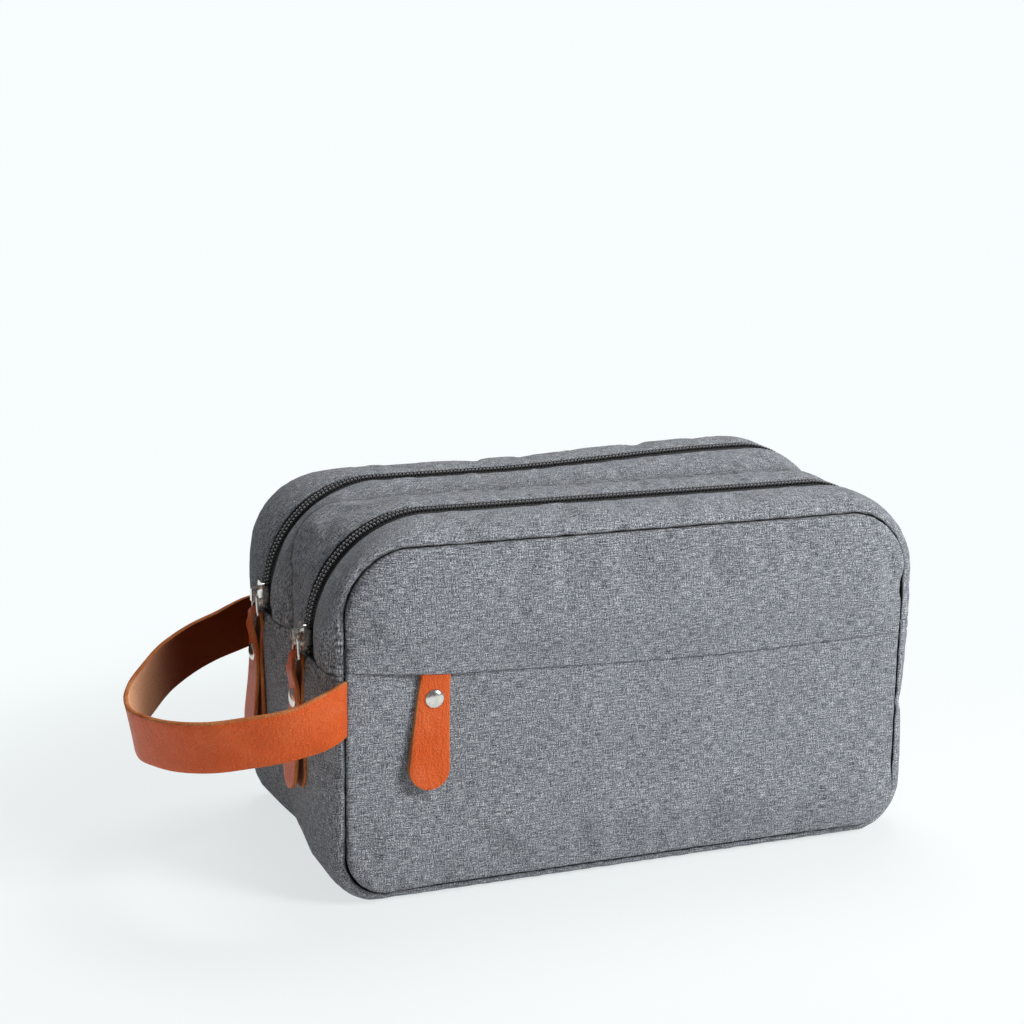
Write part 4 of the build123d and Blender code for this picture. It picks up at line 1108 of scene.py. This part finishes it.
def makeStrap():
    flat = smoothPath(strap["route"], strap["step"]) * mm
    droop = math.radians(strap["droop"])
    out = strap["hingeX"] * mm - flat[:, 0]
    sewn = np.exp(-(np.maximum(out, 0) / (strap["sewnReach"] * mm))**2)
    height = (strap["height"] + strap["sewnLift"] * sewn) * mm - np.maximum(out, 0) * math.tan(droop)
    centre = np.stack([flat[:, 0], flat[:, 1], height], -1)
    widths = (strap["width"] + (strap["sewnWidth"] - strap["width"]) * sewn) * mm
    free = smoothStep(out / (strap["leanReach"] * mm))
    lean = np.radians(strap["lean"]) * free
    across = np.stack([-math.sin(droop) * free, -np.sin(lean), np.cos(lean)], -1)
    # painted shade on the flesh side towards the rear end, where it meets the bag
    paintedLight = 1 - easeOver(np.linspace(0, 1, len(flat)), strap["shadedFrom"])
    obj = strip("carryStrap", centre, across, widths, strap["leather"] * mm, paintedLight=paintedLight)
    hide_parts("carry_strap")
    return obj


carryStrap = makeStrap()
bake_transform(carryStrap)
print("leather made")


# metal: domed rivets, and the frame's own pieces in nickel

dome = {
    "sides": 40,
    "profile": ((0.90, 0.0), (0.98, 0.05), (1.0, 0.14), (0.98, 0.26), (0.91, 0.46), (0.78, 0.67),
                (0.58, 0.84), (0.34, 0.95), (0.14, 0.995)),  # radius and height, in shares
}


def rivetDome(nodeName, body, outward):
    low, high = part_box(nodeName)
    outward, upward = Vector(outward), Vector((0, 0, 1))
    base = (low + high) / 2
    tall = abs((high - low).dot(outward))
    radius = (high.z - low.z) / 2
    sideways = outward.cross(upward)
    verts, faces, sides = [base - outward * tall / 2], [], dome["sides"]
    for share, height in dome["profile"]:
        for k in range(sides):
            turn = 2 * math.pi * k / sides
            spoke = (sideways * math.cos(turn) + upward * math.sin(turn)) * radius * share
            verts.append(base + outward * tall * (height - 0.5) + spoke)
    verts.append(base + outward * tall / 2)
    rings = len(dome["profile"])
    for k in range(sides):
        after = (k + 1) % sides
        faces.append((0, 1 + after, 1 + k))
        faces.append((len(verts) - 1, 1 + (rings - 1) * sides + k, 1 + (rings - 1) * sides + after))
        for r in range(rings - 1):
            a, b = 1 + r * sides + k, 1 + r * sides + after
            faces.append((a, b, b + sides, a + sides))
    mesh = newMesh(nodeName + "Dome", verts, faces)
    mendMesh(mesh)
    mesh.materials.append(nickel)
    obj = addObject(nodeName + "Dome", mesh)
    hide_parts(nodeName)
    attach(obj, body)


rivetDome("front_rivet_cap", "front_tab", (-1, 0, 0))
rivetDome("rear_rivet_cap", "rear_tab", (-1, 0, 0))
rivetDome("pocket_rivet_cap", "pocket_tab", (0, -1, 0))

for nodeName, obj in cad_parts.items():
    if obj.hide_render:
        continue
    obj.data.materials.clear()
    if "zip_tape" in nodeName:
        obj.data.materials.append(tapeMaterial)
    elif "zip_coil" in nodeName:
        obj.data.materials.append(coilMaterial)
    else:
        obj.data.materials.append(nickel)

# floor, light and camera

stage = {  # metres and sRGB
    "backdrop": "#F8FDFE", "paint": "#FAFCFC", "sky": "#F7F7F7", "ambient": 0.16, "floorHalf": 6.0,
    "shadowShare": 0.28, "floorFade": (0.22, 0.42),  # how much shadow is seen, and where it ends
    "fadePlace": (-0.01, 0.0, 0), "fadeStretch": (1.0, 1.1, 1),
}
lamps = {  # place, what it points at, width in metres, power in watts
    "key": ((0.80, -1.0, 0.85), (0, 0, 0.08), 0.5, 18.0),
    "top": ((0.25, 0.35, 1.2), (0, 0, 0.1), 0.7, 7.0),
    "fill": ((-1.0, -0.8, 0.5), (0, 0, 0.08), 0.8, 0.3),
}
view = {  # fitted to the photograph's seams; metres, degrees, and mm of lens and film
    "azimuth": -21.3, "elevation": 12.7, "roll": 0.70, "distance": 0.836, "lens": 68.17, "film": 36.0,
    "target": (-0.0294, 0.0, 0.1413),
}


def makeLamp(name, place, target, size, power):
    light = bpy.data.lights.new(name, "AREA")
    light.shape = "DISK"
    light.size = size
    light.energy = power
    obj = addObject(name, light)
    obj.location = place
    obj.rotation_euler = (Vector(target) - Vector(place)).to_track_quat("-Z", "Y").to_euler()


def makeFloor():
    r = stage["floorHalf"]
    mesh = newMesh("floor", [(-r, -r, 0), (r, -r, 0), (r, r, 0), (-r, r, 0)], [(0, 1, 2, 3)])
    floor = addObject("floor", mesh)
    material, tree = newMaterial("pale floor")
    paint = node(tree, "ShaderNodeBsdfDiffuse", {"Color": linear(stage["paint"])})
    glow = node(tree, "ShaderNodeEmission", {"Color": linear(stage["backdrop"]), "Strength": 1.0})
    place = node(tree, "ShaderNodeTexCoord").outputs["Object"]
    centred = node(tree, "ShaderNodeMapping", {0: place, 1: stage["fadePlace"], 3: stage["fadeStretch"]})
    away = node(tree, "ShaderNodeVectorMath", {0: centred}, operation="LENGTH").outputs["Value"]
    near, far = stage["floorFade"]
    fade = node(tree, "ShaderNodeMapRange", {"Value": away, "From Min": near, "From Max": far,
                                             "To Min": 1 - stage["shadowShare"], "To Max": 1.0},
                interpolation_type="SMOOTHSTEP")
    path = node(tree, "ShaderNodeLightPath").outputs
    seen = path["Is Camera Ray"]
    for kind in ("Is Glossy Ray", "Is Transmission Ray"):
        seen = node(tree, "ShaderNodeMath", {0: seen, 1: path[kind]}, operation="MAXIMUM")
    share = node(tree, "ShaderNodeMath", {0: fade, 1: seen}, operation="MULTIPLY")
    mixed = node(tree, "ShaderNodeMixShader", {0: share, 1: paint, 2: glow})
    node(tree, "ShaderNodeOutputMaterial", {"Surface": mixed})
    mesh.materials.append(material)


def makeWorld():
    world = bpy.data.worlds.new("studio")
    world.use_nodes = True
    tree = world.node_tree
    tree.nodes.clear()
    path = node(tree, "ShaderNodeLightPath").outputs
    seen = node(tree, "ShaderNodeMath", {0: path["Is Camera Ray"], 1: path["Is Transmission Ray"]},
                operation="MAXIMUM")
    soft = node(tree, "ShaderNodeBackground", {"Color": linear(stage["sky"]), "Strength": stage["ambient"]})
    plain = node(tree, "ShaderNodeBackground", {"Color": linear(stage["backdrop"]), "Strength": 1.0})
    mixed = node(tree, "ShaderNodeMixShader", {0: seen, 1: soft, 2: plain})
    node(tree, "ShaderNodeOutputWorld", {"Surface": mixed})
    bpy.context.scene.world = world


def makeCamera():
    camera = bpy.data.cameras.new("camera")
    camera.lens = view["lens"]
    camera.sensor_width = view["film"]
    camera.clip_start, camera.clip_end = 0.01, 50
    obj = addObject("camera", camera)
    azimuth, elevation, roll = (math.radians(view[key]) for key in ("azimuth", "elevation", "roll"))
    back = Vector((math.sin(azimuth) * math.cos(elevation), -math.cos(azimuth) * math.cos(elevation),
                   math.sin(elevation)))
    right = Vector((math.cos(azimuth), math.sin(azimuth), 0))
    up = back.cross(right)
    turnedRight = math.cos(roll) * right + math.sin(roll) * up
    turnedUp = -math.sin(roll) * right + math.cos(roll) * up
    place = Vector(view["target"]) + back * view["distance"]
    obj.matrix_world = Matrix((
        (turnedRight.x, turnedUp.x, back.x, place.x),
        (turnedRight.y, turnedUp.y, back.y, place.y),
        (turnedRight.z, turnedUp.z, back.z, place.z),
        (0, 0, 0, 1),
    ))
    bpy.context.scene.camera = obj


makeFloor()
makeWorld()
for name, lamp in lamps.items():
    makeLamp(name, *lamp)
makeCamera()
bpy.context.scene.view_settings.view_transform = "Standard"

print("scene made")
